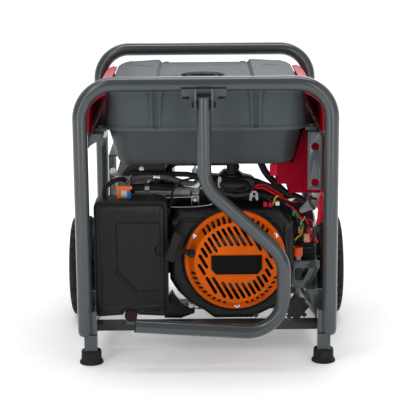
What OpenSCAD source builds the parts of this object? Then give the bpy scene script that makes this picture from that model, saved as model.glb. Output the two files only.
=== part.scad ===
// Portable generator with an open tube frame, two wheels and one fold-down handle.
// Millimetres. +X is the operator's right, +Y runs from the handle end to the rear, +Z is up.
// The origin is at the bottom centre of the whole machine's box.

/* [Frame] */
// Outside diameter of the frame tube
tube_d = 32; // [31:0.5:33]
// Wall of the frame tube
tube_wall = 2; // [1.5:0.5:3]
// Width between the centrelines of a hoop's legs
frame_w = 538; // [536:1:544]
// Height of the centreline of a hoop's top bar
frame_top = 620; // [618:1:630]
// Distance between the two hoops
hoop_gap = 660; // [656:1:680]

/* [Wheels and feet] */
// Radius of a tyre
wheel_r = 122; // [116:1:124]
// Width of a tyre
tyre_w = 55; // [50:1:58]
// Distance of the wheel axle behind the front hoop
axle_y = 380; // [374:1:384]
// Diameter of the axle pin
axle_d = 16; // [14:0.5:18]

/* [Handle] */
// Outside diameter of the handle tube
handle_d = 30; // [28:0.5:31]
// Distance of the handle in front of the front hoop
handle_out = 40; // [39:0.5:42]

/* [Engine and alternator] */
// Distance of the crankshaft from the middle of the frame
crank_x = 64; // [62:0.5:64.5]
// Height of the crankshaft
crank_z = 215.5; // [214:0.5:217]
// Outer radius of the recoil starter cover
recoil_r = 113; // [110:0.5:113]
// Outer radius of the alternator's stator shell
stator_r = 94; // [88:1:96]

/* [Fuel tank] */
// Height of the tank's seam flange
flange_z = 515; // [513:1:516]
// Height of the tank's flat top
tank_top = 600; // [594:1:602]

/* [Control panel] */
// Distance of the panel's face from the middle of the frame
panel_x = 258; // [257:0.5:259]

/* [Hidden] */
$fn = 64;

tube_r = tube_d / 2;
handle_r = handle_d / 2;
leg_x = frame_w / 2;
// The machine's box runs from the handle's front to the rear hoop's back
front_y = (handle_out + handle_r - hoop_gap - tube_r) / 2;
rail_bend = 75;
rail_z = 85;
// The bottom rails toe inwards towards the middle, which leaves room for the wheels
splice_y = hoop_gap / 2;
splice_gap = 3;
rail_toe = 0.1405;
rail_mid_x = leg_x - splice_y * rail_toe;
handle_bend = 80;
// The handle hangs a little left of the middle
handle_x = -4;
pivot_z = 584;
hub_x = 273;
// Half-length and height of the bead at each end of a bend, and the tube's gap inside it
bead_l = 1.5;
bead_h = 0.1;
bead_gap = 0.4;
cylinder_tilt = -65;

// Colours
slate = [0.30, 0.34, 0.36];
orange_red = [0.78, 0.33, 0.06];
crimson = [0.78, 0.05, 0.12];
soft_black = [0.10, 0.10, 0.10];
rubber_black = [0.05, 0.05, 0.05];
cast_grey = [0.55, 0.56, 0.56];
steel = [0.70, 0.71, 0.72];
brass_gold = [0.75, 0.60, 0.25];

// ---- Helpers ----

// Every depth below is measured back from the front hoop's plane
module placed() translate([0, front_y, 0]) children();

function unit(v) = v / norm(v);

module in_axes(x, y, z, at)
  multmatrix([
    [x[0], y[0], z[0], at[0]],
    [x[1], y[1], z[1], at[1]],
    [x[2], y[2], z[2], at[2]],
    [0, 0, 0, 1]
  ]) children();

// Turns local +Z along d and moves the origin to p
module along(p, d) {
  z = unit(d);
  side = abs(z[2]) > 0.9 ? [1, 0, 0] : [0, 0, 1];
  x = unit(cross(side, z));
  in_axes(x, cross(z, x), z, p) children();
}

module ring(r, wall) difference() {
  circle(r);
  if (wall > 0) circle(r - wall);
}

module straight(a, b, r, wall = 0) along(a, b - a) linear_extrude(norm(b - a)) ring(r, wall);

// One bend at corner p, from direction u to direction v
module elbow(p, u, v, bend, r, wall) {
  turn = acos(u * v);
  inward = unit(v - u * (u * v));
  centre = p - u * bend * tan(turn / 2) + inward * bend;
  in_axes(-inward, u, cross(-inward, u), centre)
    rotate_extrude(angle = turn) translate([bend, 0]) ring(r, wall);
}

// Bead where a bend starts, a touch wider than the tube
module bead(z, r, wall) translate([0, 0, z - bead_l]) linear_extrude(2 * bead_l)
  ring(r + bead_h, wall > 0 ? wall / 2 : 0);

// A tube along a list of corners, with every corner bent to the same radius
module bent_tube(pts, bend, r, wall = 0) {
  last = len(pts) - 1;
  dirs = [for (i = [0:last - 1]) unit(pts[i + 1] - pts[i])];
  cuts = [for (i = [0:last]) i == 0 || i == last ? 0 : bend * tan(acos(dirs[i - 1] * dirs[i]) / 2)];
  for (i = [0:last - 1]) {
    start = i == 0 ? 0 : bead_gap;
    end = norm(pts[i + 1] - pts[i]) - cuts[i] - cuts[i + 1];
    along(pts[i] + dirs[i] * cuts[i], dirs[i]) {
      translate([0, 0, start]) linear_extrude(end - start - (i == last - 1 ? 0 : bead_gap)) ring(r, wall);
      if (i > 0) bead(0, r, wall);
      if (i < last - 1) bead(end, r, wall);
    }
  }
  for (i = [1:last - 1]) elbow(pts[i], dirs[i - 1], dirs[i], bend, r, wall);
}

// A disc or tube along +Y from y1 to y2
module y_disc(x, z, y1, y2, r, hole = 0) translate([x, y1, z]) rotate([-90, 0, 0]) difference() {
  cylinder(h = y2 - y1, r = r);
  if (hole > 0) translate([0, 0, -1]) cylinder(h = y2 - y1 + 2, r = hole);
}

// A disc or tube along +X from x1 to x2
module x_disc(y, z, x1, x2, r, hole = 0) translate([x1, y, z]) rotate([0, 90, 0]) difference() {
  cylinder(h = x2 - x1, r = r);
  if (hole > 0) translate([0, 0, -1]) cylinder(h = x2 - x1 + 2, r = hole);
}

// A box between two opposite corners
module block(a, b) translate(a) cube(b - a);

// A flat outline given in X and Z, running back from y1 to y2
module y_plate(y1, y2, pts) translate([0, y2, 0]) rotate([90, 0, 0]) linear_extrude(y2 - y1) polygon(pts);

// A flat outline given in Y and Z, running from x1 to x2
module x_plate(x1, x2, pts) translate([x1, 0, 0]) rotate([90, 0, 90]) linear_extrude(x2 - x1) polygon(pts);

module both_sides() {
  children();
  mirror([1, 0, 0]) children();
}

// A box with four rounded edges that run along Y
module soft_block(a, b, r) {
  w = b[0] - a[0];
  h = b[2] - a[2];
  translate([a[0], b[1], a[2]]) rotate([90, 0, 0]) linear_extrude(b[1] - a[1]) union() {
    translate([r, 0]) square([w - 2 * r, h]);
    translate([0, r]) square([w, h - 2 * r]);
    for (x = [r, w - r], z = [r, h - r]) translate([x, z]) circle(r);
  }
}

// ---- Frame ----

// Where a hoop's bottom rails end, just short of the splice between front and rear
function rail_end(y0) = splice_y + (y0 > splice_y ? splice_gap : -splice_gap);

// Half of the frame: a hoop whose legs turn into the bottom rails. y0 is the hoop's plane
function hoop_path(y0) = [
  [-rail_mid_x, rail_end(y0), rail_z],
  [-leg_x, y0, rail_z],
  [-leg_x, y0, frame_top],
  [leg_x, y0, frame_top],
  [leg_x, y0, rail_z],
  [rail_mid_x, rail_end(y0), rail_z]
];

module hoop(y0, wall) bent_tube(hoop_path(y0), rail_bend, tube_r, wall);

module front_hoop() placed() color(slate) hoop(0, tube_wall);

module rear_hoop() placed() color(slate) hoop(hoop_gap, tube_wall);

module both_hoops() {
  hoop(0, 0);
  hoop(hoop_gap, 0);
}

cross_z = rail_z - tube_r;
mount_y = 240;

// An inverted channel across the frame below the rails, reaching to x on both sides
module cross_rail(y1, y2, x) difference() {
  block([-x, y1, cross_z - 14], [x, y2, cross_z]);
  block([-x - 1, y1 + 3, cross_z - 15], [x + 1, y2 - 3, cross_z - 3]);
}

post_x = 257;
post_w = 28;

toe_z = 62;

// The leg that stands under a front corner, and the rounded toe that ends the hoop in front of it
module corner_leg() {
  block([post_x - post_w / 2, -10, 10], [post_x + post_w / 2, 18, toe_z + 4]);
  block([post_x - post_w / 2, -4, toe_z + 3], [post_x + post_w / 2, 18, 118]);
  translate([leg_x, 0, toe_z]) rotate_extrude()
    polygon([[0, 0], [9, 0], [13.5, 3], [15.4, 8], [15.4, 52], [0, 52]]);
}

// The plate that ties a cross rail to a hoop, reaching in to x at its top
module gusset(y, x) y_plate(y, y + 3,
  [[x, 149], [262, 149], [276, 104], [272, cross_z - 14], [252, cross_z - 14]]);

// The clamp over the joint between the front and rear rails
module splice_clamp()
  block([rail_mid_x - 22, splice_y - 18, rail_z - 21], [rail_mid_x + 22, splice_y + 16, rail_z + 21]);

module cross_rails() placed() color(slate) {
  cross_rail(60, 100, 256);
  cross_rail(mount_y - 20, mount_y + 20, 234);
  cross_rail(560, 600, 256);
}

module frame_brackets() placed() color(slate) {
  difference() {
    union() {
      both_sides() {
        corner_leg();
        splice_clamp();
        gusset(hoop_gap - 60, 232);
      }
      gusset(57, 225);
      mirror([1, 0, 0]) gusset(57, 249);
    }
    both_hoops();
    both_sides() y_disc(257, 113, 40, hoop_gap, 4.2);
  }
  // Upright tab that carries the air cleaner's rubber stop
  difference() {
    block([-182, 60, cross_z], [-158, 64, 112]);
    y_disc(-170, 96, 50, 70, 4.2);
  }
}

module rubber_foot(x) translate([x, 4, 0]) difference() {
  rotate_extrude() polygon([[0, 0], [26.5, 0], [26.5, 6], [22.5, 11], [21.5, 30], [0, 30]]);
  translate([-post_w / 2, -post_w / 2, 10]) cube([post_w, post_w, 30]);
}

module rubber_feet() placed() color(rubber_black) for (s = [-1, 1]) rubber_foot(s * post_x);

bracket_x1 = 228;
bracket_x2 = 258;

// A channel that hugs a bottom rail and holds the sleeve for the axle pin
module wheel_bracket() difference() {
  union() {
    block([bracket_x2 - 5, axle_y - 32, 68], [bracket_x2, axle_y + 32, 152]);
    for (y = [axle_y - 32, axle_y + 27])
      block([bracket_x1, y, 68], [bracket_x2, y + 5, 152]);
    x_disc(axle_y, wheel_r, bracket_x1, hub_x - 4, 13);
  }
  both_hoops();
  x_disc(axle_y, wheel_r, bracket_x1 - 1, hub_x, axle_d / 2);
}

module wheel_brackets() placed() color(slate) both_sides() wheel_bracket();

// Axle pin with its head inside the frame and a hairpin clip outside the wheel
module axle_pin() {
  x_disc(axle_y, wheel_r, bracket_x1 - 6, bracket_x1, 13);
  x_disc(axle_y, wheel_r, bracket_x1, hub_x + 54, axle_d / 2);
  translate([hub_x + 48, axle_y, wheel_r - 13]) cylinder(h = 26, r = 1.6);
}

module axle_pins() placed() color(steel) both_sides() difference() {
  axle_pin();
  x_disc(axle_y, wheel_r, bracket_x1 - 7, bracket_x1 - 3, 7);
}

rail_in = 224;
rail_out = 247;
rail_top = flange_z - 3;

module tank_rail() {
  block([rail_in, 20, rail_top - 6], [rail_out, hoop_gap - 20, rail_top]);
  for (y = [16, hoop_gap - 20])
    y_plate(y, y + 4, [[rail_in, rail_top], [262, rail_top], [262, rail_top - 36]]);
}

// Flat bars that carry the tank, and the plate with two holes at the front right corner
module tank_rails() placed() color(slate) difference() {
  union() {
    both_sides() tank_rail();
    block([221, 16, 385], [251, 20, rail_top]);
    block([248, 16, 385], [262, 20, 392]);
  }
  both_hoops();
  for (z = [401, 480]) y_disc(235.5, z, 10, 30, 8.5);
  for (s = [-1, 1], y = [56, 564]) translate([s * 234, y, rail_top - 10]) cylinder(h = 20, r = 4.2);
}

cheek_x = handle_r + 1;
pivot_y = -handle_out;

// Saddle under the front top bar with two cheeks for the handle's pivot
module handle_bracket() placed() color(slate) difference() {
  translate([handle_x, 0, 0]) difference() {
    union() {
      block([-48, -20, frame_top - 24], [48, 20, frame_top - 8]);
      for (s = [-1, 1]) translate([s * (cheek_x + 2), 0, 0])
        x_plate(-2, 2, [[pivot_y - 13, pivot_z - 13], [pivot_y - 13, pivot_z + 10], [-20, frame_top - 8],
          [12, frame_top - 8], [12, frame_top - 24], [pivot_y + 14, pivot_z - 13]]);
    }
    x_disc(pivot_y, pivot_z, -30, 30, 5);
    block([-cheek_x, -60, 540], [cheek_x, -17, 606]);
    for (s = [-1, 1]) translate([s * 38, 0, 0]) cylinder(h = 700, r = 4.2);
  }
  hoop(0, 0);
}

handle_path = [
  [handle_x, pivot_y, pivot_z + 14],
  [handle_x, pivot_y, 406],
  [166, pivot_y, 248.5],
  [166, pivot_y, 76.5],
  [-155, pivot_y, 97.5]
];

module fold_handle() placed() color(slate) difference() {
  bent_tube(handle_path, handle_bend, handle_r, 2);
  x_disc(pivot_y, pivot_z, handle_x - 30, handle_x + 30, 5.05);
}

stop_x = -170;
stop_z = 96;

// Vibration mounts under the engine and the alternator, and the stop under the air cleaner
module rubber_mounts() placed() color(rubber_black) {
  for (x = [-2, 128]) translate([x, mount_y, cross_z]) cylinder(h = 14, r = 16);
  for (x = [10, 116]) translate([x, 580, cross_z]) cylinder(h = 20, r = 16);
  y_disc(stop_x, stop_z, 38, 60, 14);
}

module hex_head(r) cylinder(h = 5, r = r, $fn = 6);

// Bolts that hold the tank, the panels, the gussets, the stop and the handle's pivot
module frame_bolts() placed() color(steel) {
  for (s = [-1, 1], y = [56, 564]) translate([s * 234, y, rail_top - 12]) {
    cylinder(h = 18, r = 4);
    translate([0, 0, 18]) hex_head(7);
    hex_head(6);
  }
  for (s = [-1, 1]) {
    y_disc(s * 257, 113, 52, 66, 4);
    translate([s * 257, 57, 113]) rotate([90, 0, 0]) hex_head(7.5);
    translate([handle_x + s * 38, 0, frame_top - 31]) cylinder(h = 12, r = 4);
    translate([handle_x + s * 38, 0, frame_top - 32]) hex_head(7);
  }
  x_disc(pivot_y, pivot_z, handle_x - 26, handle_x + 26, 5);
  translate([handle_x + 20, pivot_y, pivot_z]) rotate([0, 90, 0]) hex_head(8.5);
  translate([handle_x - 25, pivot_y, pivot_z]) rotate([0, 90, 0]) hex_head(8.5);
}

// Red sheet panels inside the hoops' upper corners
module side_panels() placed() color(crimson) both_sides() y_plate(5, hoop_gap - 5, [
  [252, 513], [251, 557], [237, 584], [214.5, 600], [212.5, 597.5], [234.5, 582], [248, 556], [249, 513]
]);

// ---- Fuel tank ----

tank_front = 45;
tank_rear = 575;
cap_x = -6;
cap_y = 310;
well_r = 52;
well_z = tank_top - 24;

// Plan outline of the tank with chamfered corners, inset by t
function tank_plan(t) = [
  [-211 + t, tank_front + 42], [-170 + t / 2, tank_front + t], [170 - t / 2, tank_front + t],
  [211 - t, tank_front + 42], [211 - t, tank_rear - 42], [170 - t / 2, tank_rear - t],
  [-170 + t / 2, tank_rear - t], [-211 + t, tank_rear - 42]
];

module upper_form(t) intersection() {
  y_plate(tank_front, tank_rear, [
    [-211 + t, flange_z - t], [-205 + t, tank_top - t], [-199 + t, tank_top + 6 - t],
    [-112, tank_top + 6 - t], [-106, tank_top - t], [106, tank_top - t], [112, tank_top + 6 - t],
    [199 - t, tank_top + 6 - t], [205 - t, tank_top - t], [211 - t, flange_z - t]
  ]);
  x_plate(-220, 220, [
    [tank_front + t, flange_z - t], [tank_front + 7 + t, tank_top - t], [tank_front + 15, tank_top + 7 - t],
    [tank_rear - 15, tank_top + 7 - t], [tank_rear - 7 - t, tank_top - t], [tank_rear - t, flange_z - t]
  ]);
  translate([0, 0, 400]) linear_extrude(300) polygon(tank_plan(t));
}

module lower_form(t) intersection() {
  y_plate(tank_front, tank_rear, [
    [-211 + t, flange_z], [-211 + t, flange_z - 3], [-188 + t, 444 + t / 2], [-178 + t, 436 + t],
    [178 - t, 436 + t], [188 - t, 444 + t / 2], [211 - t, flange_z - 3], [211 - t, flange_z]
  ]);
  x_plate(-220, 220, [
    [tank_front + t, flange_z], [tank_front + t, flange_z - 3], [tank_front + 17 + t, 444 + t / 2],
    [tank_front + 27 + t, 436 + t], [tank_rear - 27 - t, 436 + t], [tank_rear - 17 - t, 444 + t / 2],
    [tank_rear - t, flange_z - 3], [tank_rear - t, flange_z]
  ]);
  translate([0, 0, 400]) linear_extrude(300) polygon(tank_plan(t));
}

// Seam flange with an ear at each corner
module tank_flange(z) translate([0, 0, z]) linear_extrude(3) difference() {
  union() {
    translate([-222, tank_front - 5]) square([444, tank_rear - tank_front + 10]);
    for (s = [-1, 1], y = [56, 564]) translate([s * 229, y]) square([26, 28], center = true);
  }
  polygon(tank_plan(2));
  for (s = [-1, 1], y = [56, 564]) translate([s * 234, y]) circle(4.2);
}

module tank_upper_shell() placed() color([0.42, 0.45, 0.46]) {
  tank_flange(flange_z);
  difference() {
    upper_form(0);
    difference() {
      upper_form(4);
      translate([cap_x, cap_y, well_z - 4]) cylinder(h = 60, r = well_r + 4);
    }
    translate([cap_x, cap_y, well_z]) cylinder(h = 60, r = well_r);
    translate([cap_x, cap_y, 500]) cylinder(h = 100, r = 25);
  }
  translate([cap_x, cap_y, well_z - 18]) difference() {
    cylinder(h = 24, r = 30);
    translate([0, 0, -1]) cylinder(h = 26, r = 25);
  }
}

module tank_lower_shell() placed() color([0.30, 0.33, 0.34]) {
  tank_flange(flange_z - 3);
  difference() {
    lower_form(0);
    translate([0, 0, 0.01]) lower_form(4);
    translate([valve_x, valve_y, 430]) cylinder(h = 20, r = 8);
  }
}

// Cap with a grip of eight lobes over the tank's neck
module fuel_cap() placed() color(soft_black) translate([cap_x, cap_y, well_z + 1]) difference() {
  union() {
    cylinder(h = 22, r = 40);
    for (i = [0:7]) rotate(i * 45) translate([38, 0, 0]) cylinder(h = 19, r = 5);
    translate([-30, -7, 22]) cube([60, 14, 4]);
  }
  translate([0, 0, -1]) cylinder(h = 8, r = 30.3);
}

valve_x = 63;
valve_y = 160;

// Shut-off valve that screws into the tank's floor
module fuel_valve() placed() color(brass_gold) translate([valve_x, valve_y, 0]) {
  translate([0, 0, 400]) cylinder(h = 36, r = 10);
  translate([0, 0, 436]) cylinder(h = 6, r = 8);
  translate([0, 0, 404]) cylinder(h = 10, r = 13, $fn = 6);
  straight([-8, 0, 418], [-24, 0, 418], 4);
}

module fuel_valve_knob() placed() color(soft_black) translate([valve_x, valve_y, 372]) {
  cylinder(h = 24, r1 = 26, r2 = 14);
  translate([0, 0, 24]) cylinder(h = 3.9, r = 8);
  translate([-4, -30, 4]) cube([8, 20, 12]);
}

module fuel_hose() placed() color(rubber_black) difference() {
  bent_tube([[49, valve_y, 418], [-75, valve_y, 418], [-108, valve_y, 372], [-108, valve_y, 317.1]], 25, 6);
  straight([60, valve_y, 418], [38.9, valve_y, 418], 4);
}

// ---- Engine ----

cyl_y = 235;
barrel_end = 150;
head_end = 200;

// Local +Z runs out along the inclined cylinder from the crankshaft
module in_cylinder() translate([crank_x, cyl_y, crank_z]) rotate([0, cylinder_tilt, 0]) children();

dip = [205.5, 105, 212];

module engine_block() placed() color(cast_grey) {
  difference() {
    union() {
      soft_block([-15, 158, 93], [141, 335, 300], 18);
      block([-25, 215, 83], [151, 265, 96]);
      in_cylinder() {
        translate([0, 0, 60]) cylinder(h = barrel_end - 60, r = 55);
        for (i = [0:6]) translate([-60, -60, 94 + 8 * i]) cube([120, 120, 3]);
        translate([-60, -60, barrel_end - 5]) cube([120, 120, 5]);
      }
    }
    block([-8, 166, 100], [134, 327, 292]);
    in_cylinder() translate([0, 0, 40]) cylinder(h = 120, r = 44);
    y_disc(crank_x, crank_z, 150, 345, 17.55);
  }
  // Filler tube for the oil, on an arm that passes behind the blower housing
  difference() {
    union() {
      translate([dip[0], dip[1], 110]) cylinder(h = dip[2] - 110, r = 7);
      block([dip[0] - 6, dip[1], 110], [dip[0] + 6, 178, 122]);
      block([137, 166, 110], [dip[0] + 6, 178, 122]);
    }
    translate([dip[0], dip[1], 115]) cylinder(h = 110, r = 4);
  }
}

module cylinder_head() placed() color(cast_grey) in_cylinder() difference() {
  union() {
    translate([-52, -52, barrel_end]) cube([104, 104, head_end - barrel_end]);
    for (i = [0:5]) translate([-60, -60, barrel_end + 2 + 8 * i]) cube([120, 120, 3]);
  }
  translate([0, 0, barrel_end - 1]) cylinder(h = 9, r = 40);
  translate([52, 0, head_end - 30]) cylinder(h = 40, r = 7);
}

module rocker_cover() placed() color(soft_black) in_cylinder() difference() {
  translate([-42, -50, head_end]) cube([84, 100, 38]);
  translate([-38, -46, head_end - 1]) cube([76, 92, 35]);
}

module spark_plug() placed() color([0.9, 0.9, 0.88]) in_cylinder() translate([52, 0, 0]) {
  translate([0, 0, head_end - 28]) cylinder(h = 28, r = 7);
  translate([0, 0, head_end]) cylinder(h = 8, r = 8, $fn = 6);
  translate([0, 0, head_end + 8]) cylinder(h = 34, r = 8);
}

blower_outline = [[16, 75], [102, 75], [159, 103], [193, 150], [193, 300], [165, 331],
  [-60, 331], [-84, 305], [-84, 120], [-45, 84]];
blower_inner = [[17, 78], [101, 78], [157, 106], [190, 151], [190, 299], [164, 328],
  [-59, 328], [-81, 304], [-81, 121], [-44, 87]];
blower_front = 78;
gov = [-25, 342];

// Sheet steel housing round the flywheel fan, with the governor's post on top
module blower_housing() placed() color(soft_black) {
  difference() {
    y_plate(blower_front, 155, blower_outline);
    y_plate(blower_front + 3, 156, blower_inner);
    y_disc(crank_x, crank_z, blower_front - 1, blower_front + 4, 98);
  }
  difference() {
    block([gov[0] - 9, 118, 331], [gov[0] + 9, 130, 352]);
    y_disc(gov[0], gov[1], 117, 131, 4);
  }
}

// Steel arm on a shaft in the governor's post
module governor_arm() placed() color(steel) {
  y_disc(gov[0], gov[1], 114, 134, 3.94);
  y_plate(130.3, 133.3, [[gov[0] - 7, 336], [gov[0] + 7, 336], [gov[0] + 12, 398], [gov[0] + 2, 402], [gov[0] - 7, 350]]);
}

cover_front = 40;
guide = [-28, 46, 239];
grip = [-72, 8, 262];
rope_way = unit(grip - guide);

// Domed cover of the recoil starter with slanted vents, the pulley's axle and the rope guide
module recoil_cover() placed() color(orange_red) {
  difference() {
    union() {
      translate([crank_x, blower_front, crank_z]) rotate([90, 0, 0]) rotate_extrude()
        polygon([[0, 38], [91, 38], [99, 30], [106, 14], [recoil_r, 12], [recoil_r, 0],
          [104, 0], [104, 12], [96.5, 28.5], [90, 35.5], [0, 35.5]]);
      y_disc(crank_x, crank_z, cover_front + 2, 70, 8);
      straight(guide + rope_way * -6, guide + rope_way * 16, 9);
    }
    straight(guide + rope_way * -30, guide + rope_way * 20, 3.6);
    for (row = [-1, 1], i = [-4:4])
      translate([crank_x + i * 16 - row * 11, 30, crank_z + row * 46]) rotate([0, 28, 0])
        translate([-3.5, 0, -19]) cube([7, 14, 38]);
    for (a = [32, 149, 272]) translate([crank_x + 102 * cos(a), 0, crank_z + 102 * sin(a)])
      y_disc(0, 0, 30, 80, 2.6);
  }
}

module recoil_pulley() placed() color(soft_black) {
  y_disc(crank_x, crank_z, 50, 53, 62, 8.06);
  y_disc(crank_x, crank_z, 53, 61, 52, 8.06);
  y_disc(crank_x, crank_z, 61, 64, 62, 8.06);
}

module crankshaft() placed() color(steel) {
  y_disc(crank_x, crank_z, 96, 205, 15);
  y_disc(crank_x, crank_z, 156, 205, 17.5);
  for (y = [205, 250]) y_disc(crank_x, crank_z, y, y + 15, 55);
  y_disc(crank_x + 33, crank_z, 220, 250, 18);
  y_disc(crank_x, crank_z, 265, 338, 17.5);
  y_disc(crank_x, crank_z, 338, 366, 15);
}

// Flywheel with the fan's blades in front and the starter cup on its nose
module flywheel() placed() color(cast_grey) {
  difference() {
    union() {
      y_disc(crank_x, crank_z, 134, 146, 90);
      y_disc(crank_x, crank_z, 98, 146, 24);
      for (i = [0:11]) translate([crank_x, 0, crank_z]) rotate([0, i * 30, 0])
        block([40, 104, -2], [86, 134.5, 2]);
    }
    y_disc(crank_x, crank_z, 90, 150, 15);
  }
  y_disc(crank_x, crank_z, 76, 98, 34, 30);
  y_disc(crank_x, crank_z, 96, 98, 34, 15);
}

module recoil_grip() placed() color(soft_black) {
  along(grip, [20, 0, 57]) rotate_extrude()
    polygon([[0, -33], [8, -33], [11, -28], [11, 28], [8, 33], [0, 33]]);
  straight(grip, grip - rope_way * 24, 7);
}

module starter_rope() placed() color([0.75, 0.72, 0.65]) straight(guide + rope_way * 6, grip - rope_way * 24, 2.5);

box_min = [-247, 20, 100];
box_max = [-85, 95, 363];
choke = [-178, 392];

// Black box over the air filter, notched over the rubber stop
module air_cleaner_cover() placed() color(soft_black) difference() {
  soft_block(box_min, box_max, 14);
  soft_block(box_min + [3, 3, 3], box_max + [-3, 1, -3], 11);
  y_disc(stop_x, stop_z, 0, 120, 17);
}

// Back plate with its outlet, the intake pipe above it and the tab for the choke lever
module air_cleaner_base() placed() color(soft_black) {
  difference() {
    union() {
      soft_block([-244, 95, 118], [-88, 103, 358], 12);
      block([choke[0] - 9, 95, 350], [choke[0] + 9, 101, 402]);
      y_disc(-108, 292, 103, 125, 20);
      block([-110, 98, 352], [-90, 112, 362]);
      x_disc(118, 362, -159, -36, 12);
    }
    y_disc(-108, 292, 90, 130, 16);
    x_disc(118, 362, -160, -60, 9);
    y_disc(choke[0], choke[1], 90, 110, 4);
  }
}

module air_filter() placed() color([0.85, 0.80, 0.65]) difference() {
  block([-232, 34, 170], [-98, 94.9, 345]);
  block([-222, 30, 180], [-108, 84, 335]);
}

module choke_lever() placed() color(soft_black) {
  y_disc(choke[0], choke[1], 90, 104, 3.94);
  y_disc(choke[0], choke[1], 103.5, 112, 8);
  y_plate(104.5, 111, [[-180, 386], [-209, 404], [-205, 414], [-174, 397]]);
  y_disc(-206, 411, 103.5, 112, 8);
}

module carburettor() placed() color(steel) difference() {
  union() {
    block([-130, 125, 270], [-87, 166, 317]);
    translate([-108, 145, 238]) cylinder(h = 34, r = 19);
    block([-128, 166, 274], [-92, 174.9, 312]);
  }
  y_disc(-108, 292, 120, 180, 14);
}

muffler_min = [-212, 330, 242];
muffler_max = [-78, 560, 398];

module muffler() placed() color([0.45, 0.43, 0.41]) {
  difference() {
    soft_block(muffler_min, muffler_max, 40);
    soft_block(muffler_min + [2, 2, 2], muffler_max - [2, 2, 2], 38);
    y_disc(-110, 300, 325, 340, 14);
    y_disc(-145, 320, 555, 565, 14);
  }
  y_disc(-110, 300, 295.2, 332, 16, 14);
  y_disc(-145, 320, 558, 600, 16, 14);
}

// Slotted guard between the muffler and the open side
module muffler_guard() placed() color(soft_black) difference() {
  union() {
    block([-230, 322, 236], [-227, 568, 404]);
    block([-230, 322, 404], [-90, 568, 407]);
  }
  for (y = [340:28:550], z = [256, 330]) block([-235, y, z], [-220, y + 14, z + 56]);
  for (y = [340:28:550]) block([-200, y, 400], [-120, y + 14, 410]);
}

starter_x = 176;
starter_z = 272;

module starter_motor() placed() color(soft_black) {
  y_disc(starter_x, starter_z, 158, 290, 27);
  y_disc(starter_x, starter_z, 290, 296, 20);
  block([141, 160, 262], [152, 172, 290]);
}

// ---- Alternator ----

module alternator_stator() placed() color([0.62, 0.63, 0.63]) difference() {
  union() {
    y_disc(crank_x, crank_z, 335, 560, stator_r - 4);
    for (y = [335, 390, 500, 552]) y_disc(crank_x, crank_z, y, y + 8, stator_r);
    for (i = [0:11]) translate([crank_x, 0, crank_z]) rotate([0, i * 30, 0])
      block([stator_r - 6, 398, -3], [stator_r - 1, 500, 3]);
  }
  y_disc(crank_x, crank_z, 334, 561, 20);
  y_disc(crank_x, crank_z, 341, 388, stator_r - 9);
  y_disc(crank_x, crank_z, 387, 523, 60);
  y_disc(crank_x, crank_z, 522, 561, stator_r - 9);
}

module alternator_end_cover() placed() color([0.62, 0.63, 0.63]) {
  difference() {
    union() {
      y_disc(crank_x, crank_z, 560, 606, stator_r);
      block([-6, 566, 89], [132, 594, 150]);
    }
    y_disc(crank_x, crank_z, 559, 602, stator_r - 6);
    for (i = [0:9]) translate([crank_x, 0, crank_z]) rotate([0, i * 36, 0])
      block([42, 600, -6], [78, 610, 6]);
    block([10, 560, 80], [116, 610, 112]);
  }
  y_disc(crank_x, crank_z, 576, 603, 26, 15.05);
}

module alternator_rotor() placed() color([0.6, 0.4, 0.25]) {
  y_disc(crank_x, crank_z, 366, 596, 15);
  y_disc(crank_x, crank_z, 390, 520, 58.5);
}

// ---- Battery, wiring and controls ----

module battery() placed() color(soft_black) {
  block([198, 128, 138], [249, 278, 240]);
  for (z = [150:14:225]) block([197, 127, z], [250, 279, z + 4]);
  for (y = [150, 256]) translate([224, y, 240]) cylinder(h = 9, r = 7);
}

module battery_tray() placed() color(slate) {
  difference() {
    union() {
      y_plate(92, 96, [[195, 141], [229, 141], [254, 190], [254, 205], [195, 205]]);
      block([195, 92, 141], [236, 124, 145]);
      block([196, 120, 134], [250, 124, 200]);
      block([196, 120, 134], [250, 283, 138]);
      block([196, 280, 134], [250, 283, 196]);
    }
    y_plate(90, 98, [[199, 161], [217, 161], [229, 183], [229, 188], [199, 188]]);
    translate([dip[0], dip[1], 140]) cylinder(h = 6, r = 8.5);
  }
  difference() {
    for (y = [134, 262]) block([228, y, 84], [249, y + 5, 134]);
    both_hoops();
  }
}

module control_module() placed() color(soft_black) {
  translate([200, 64, 102]) rotate([0, 40, 0]) soft_block([-21, 0, -21], [21, 20, 21], 3);
}

module wiring_harness() placed() color([0.25, 0.25, 0.26])
  bent_tube([[-165, 122, 404], [-40, 122, 400], [120, 122, 345], [224, 150, 345], [224, 150, 249.1]], 30, 6);

panel_y1 = 20;
panel_y2 = 470;
outlet_y = [180, 262];
breaker_z = 478;
switch_y = 70;
switch_z = 455;

// Red box behind the panel, shaped to clear the tank
module panel_box() placed() color(crimson) difference() {
  y_plate(110, panel_y2, [[158, 378], [184, 378], [184, 357], [panel_x - 3, 357], [panel_x - 3, 503],
    [216, 503], [194, 430], [158, 430]]);
  y_plate(113, panel_y2 - 3, [[161, 381], [187, 381], [187, 360], [panel_x, 360], [panel_x, 500],
    [219, 500], [197, 427], [161, 427]]);
}

module panel_face() placed() color(crimson) difference() {
  union() {
    block([panel_x - 3, panel_y1, 305], [panel_x, panel_y2, 503]);
    block([239, panel_y1, 305], [panel_x, panel_y1 + 3, 383]);
  }
  for (y = outlet_y) x_disc(y, breaker_z, panel_x - 5, panel_x + 5, 5.3);
  block([panel_x - 5, switch_y - 11, switch_z - 17], [panel_x + 5, switch_y + 11, switch_z + 17]);
}

hinge_z = 446;

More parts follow.
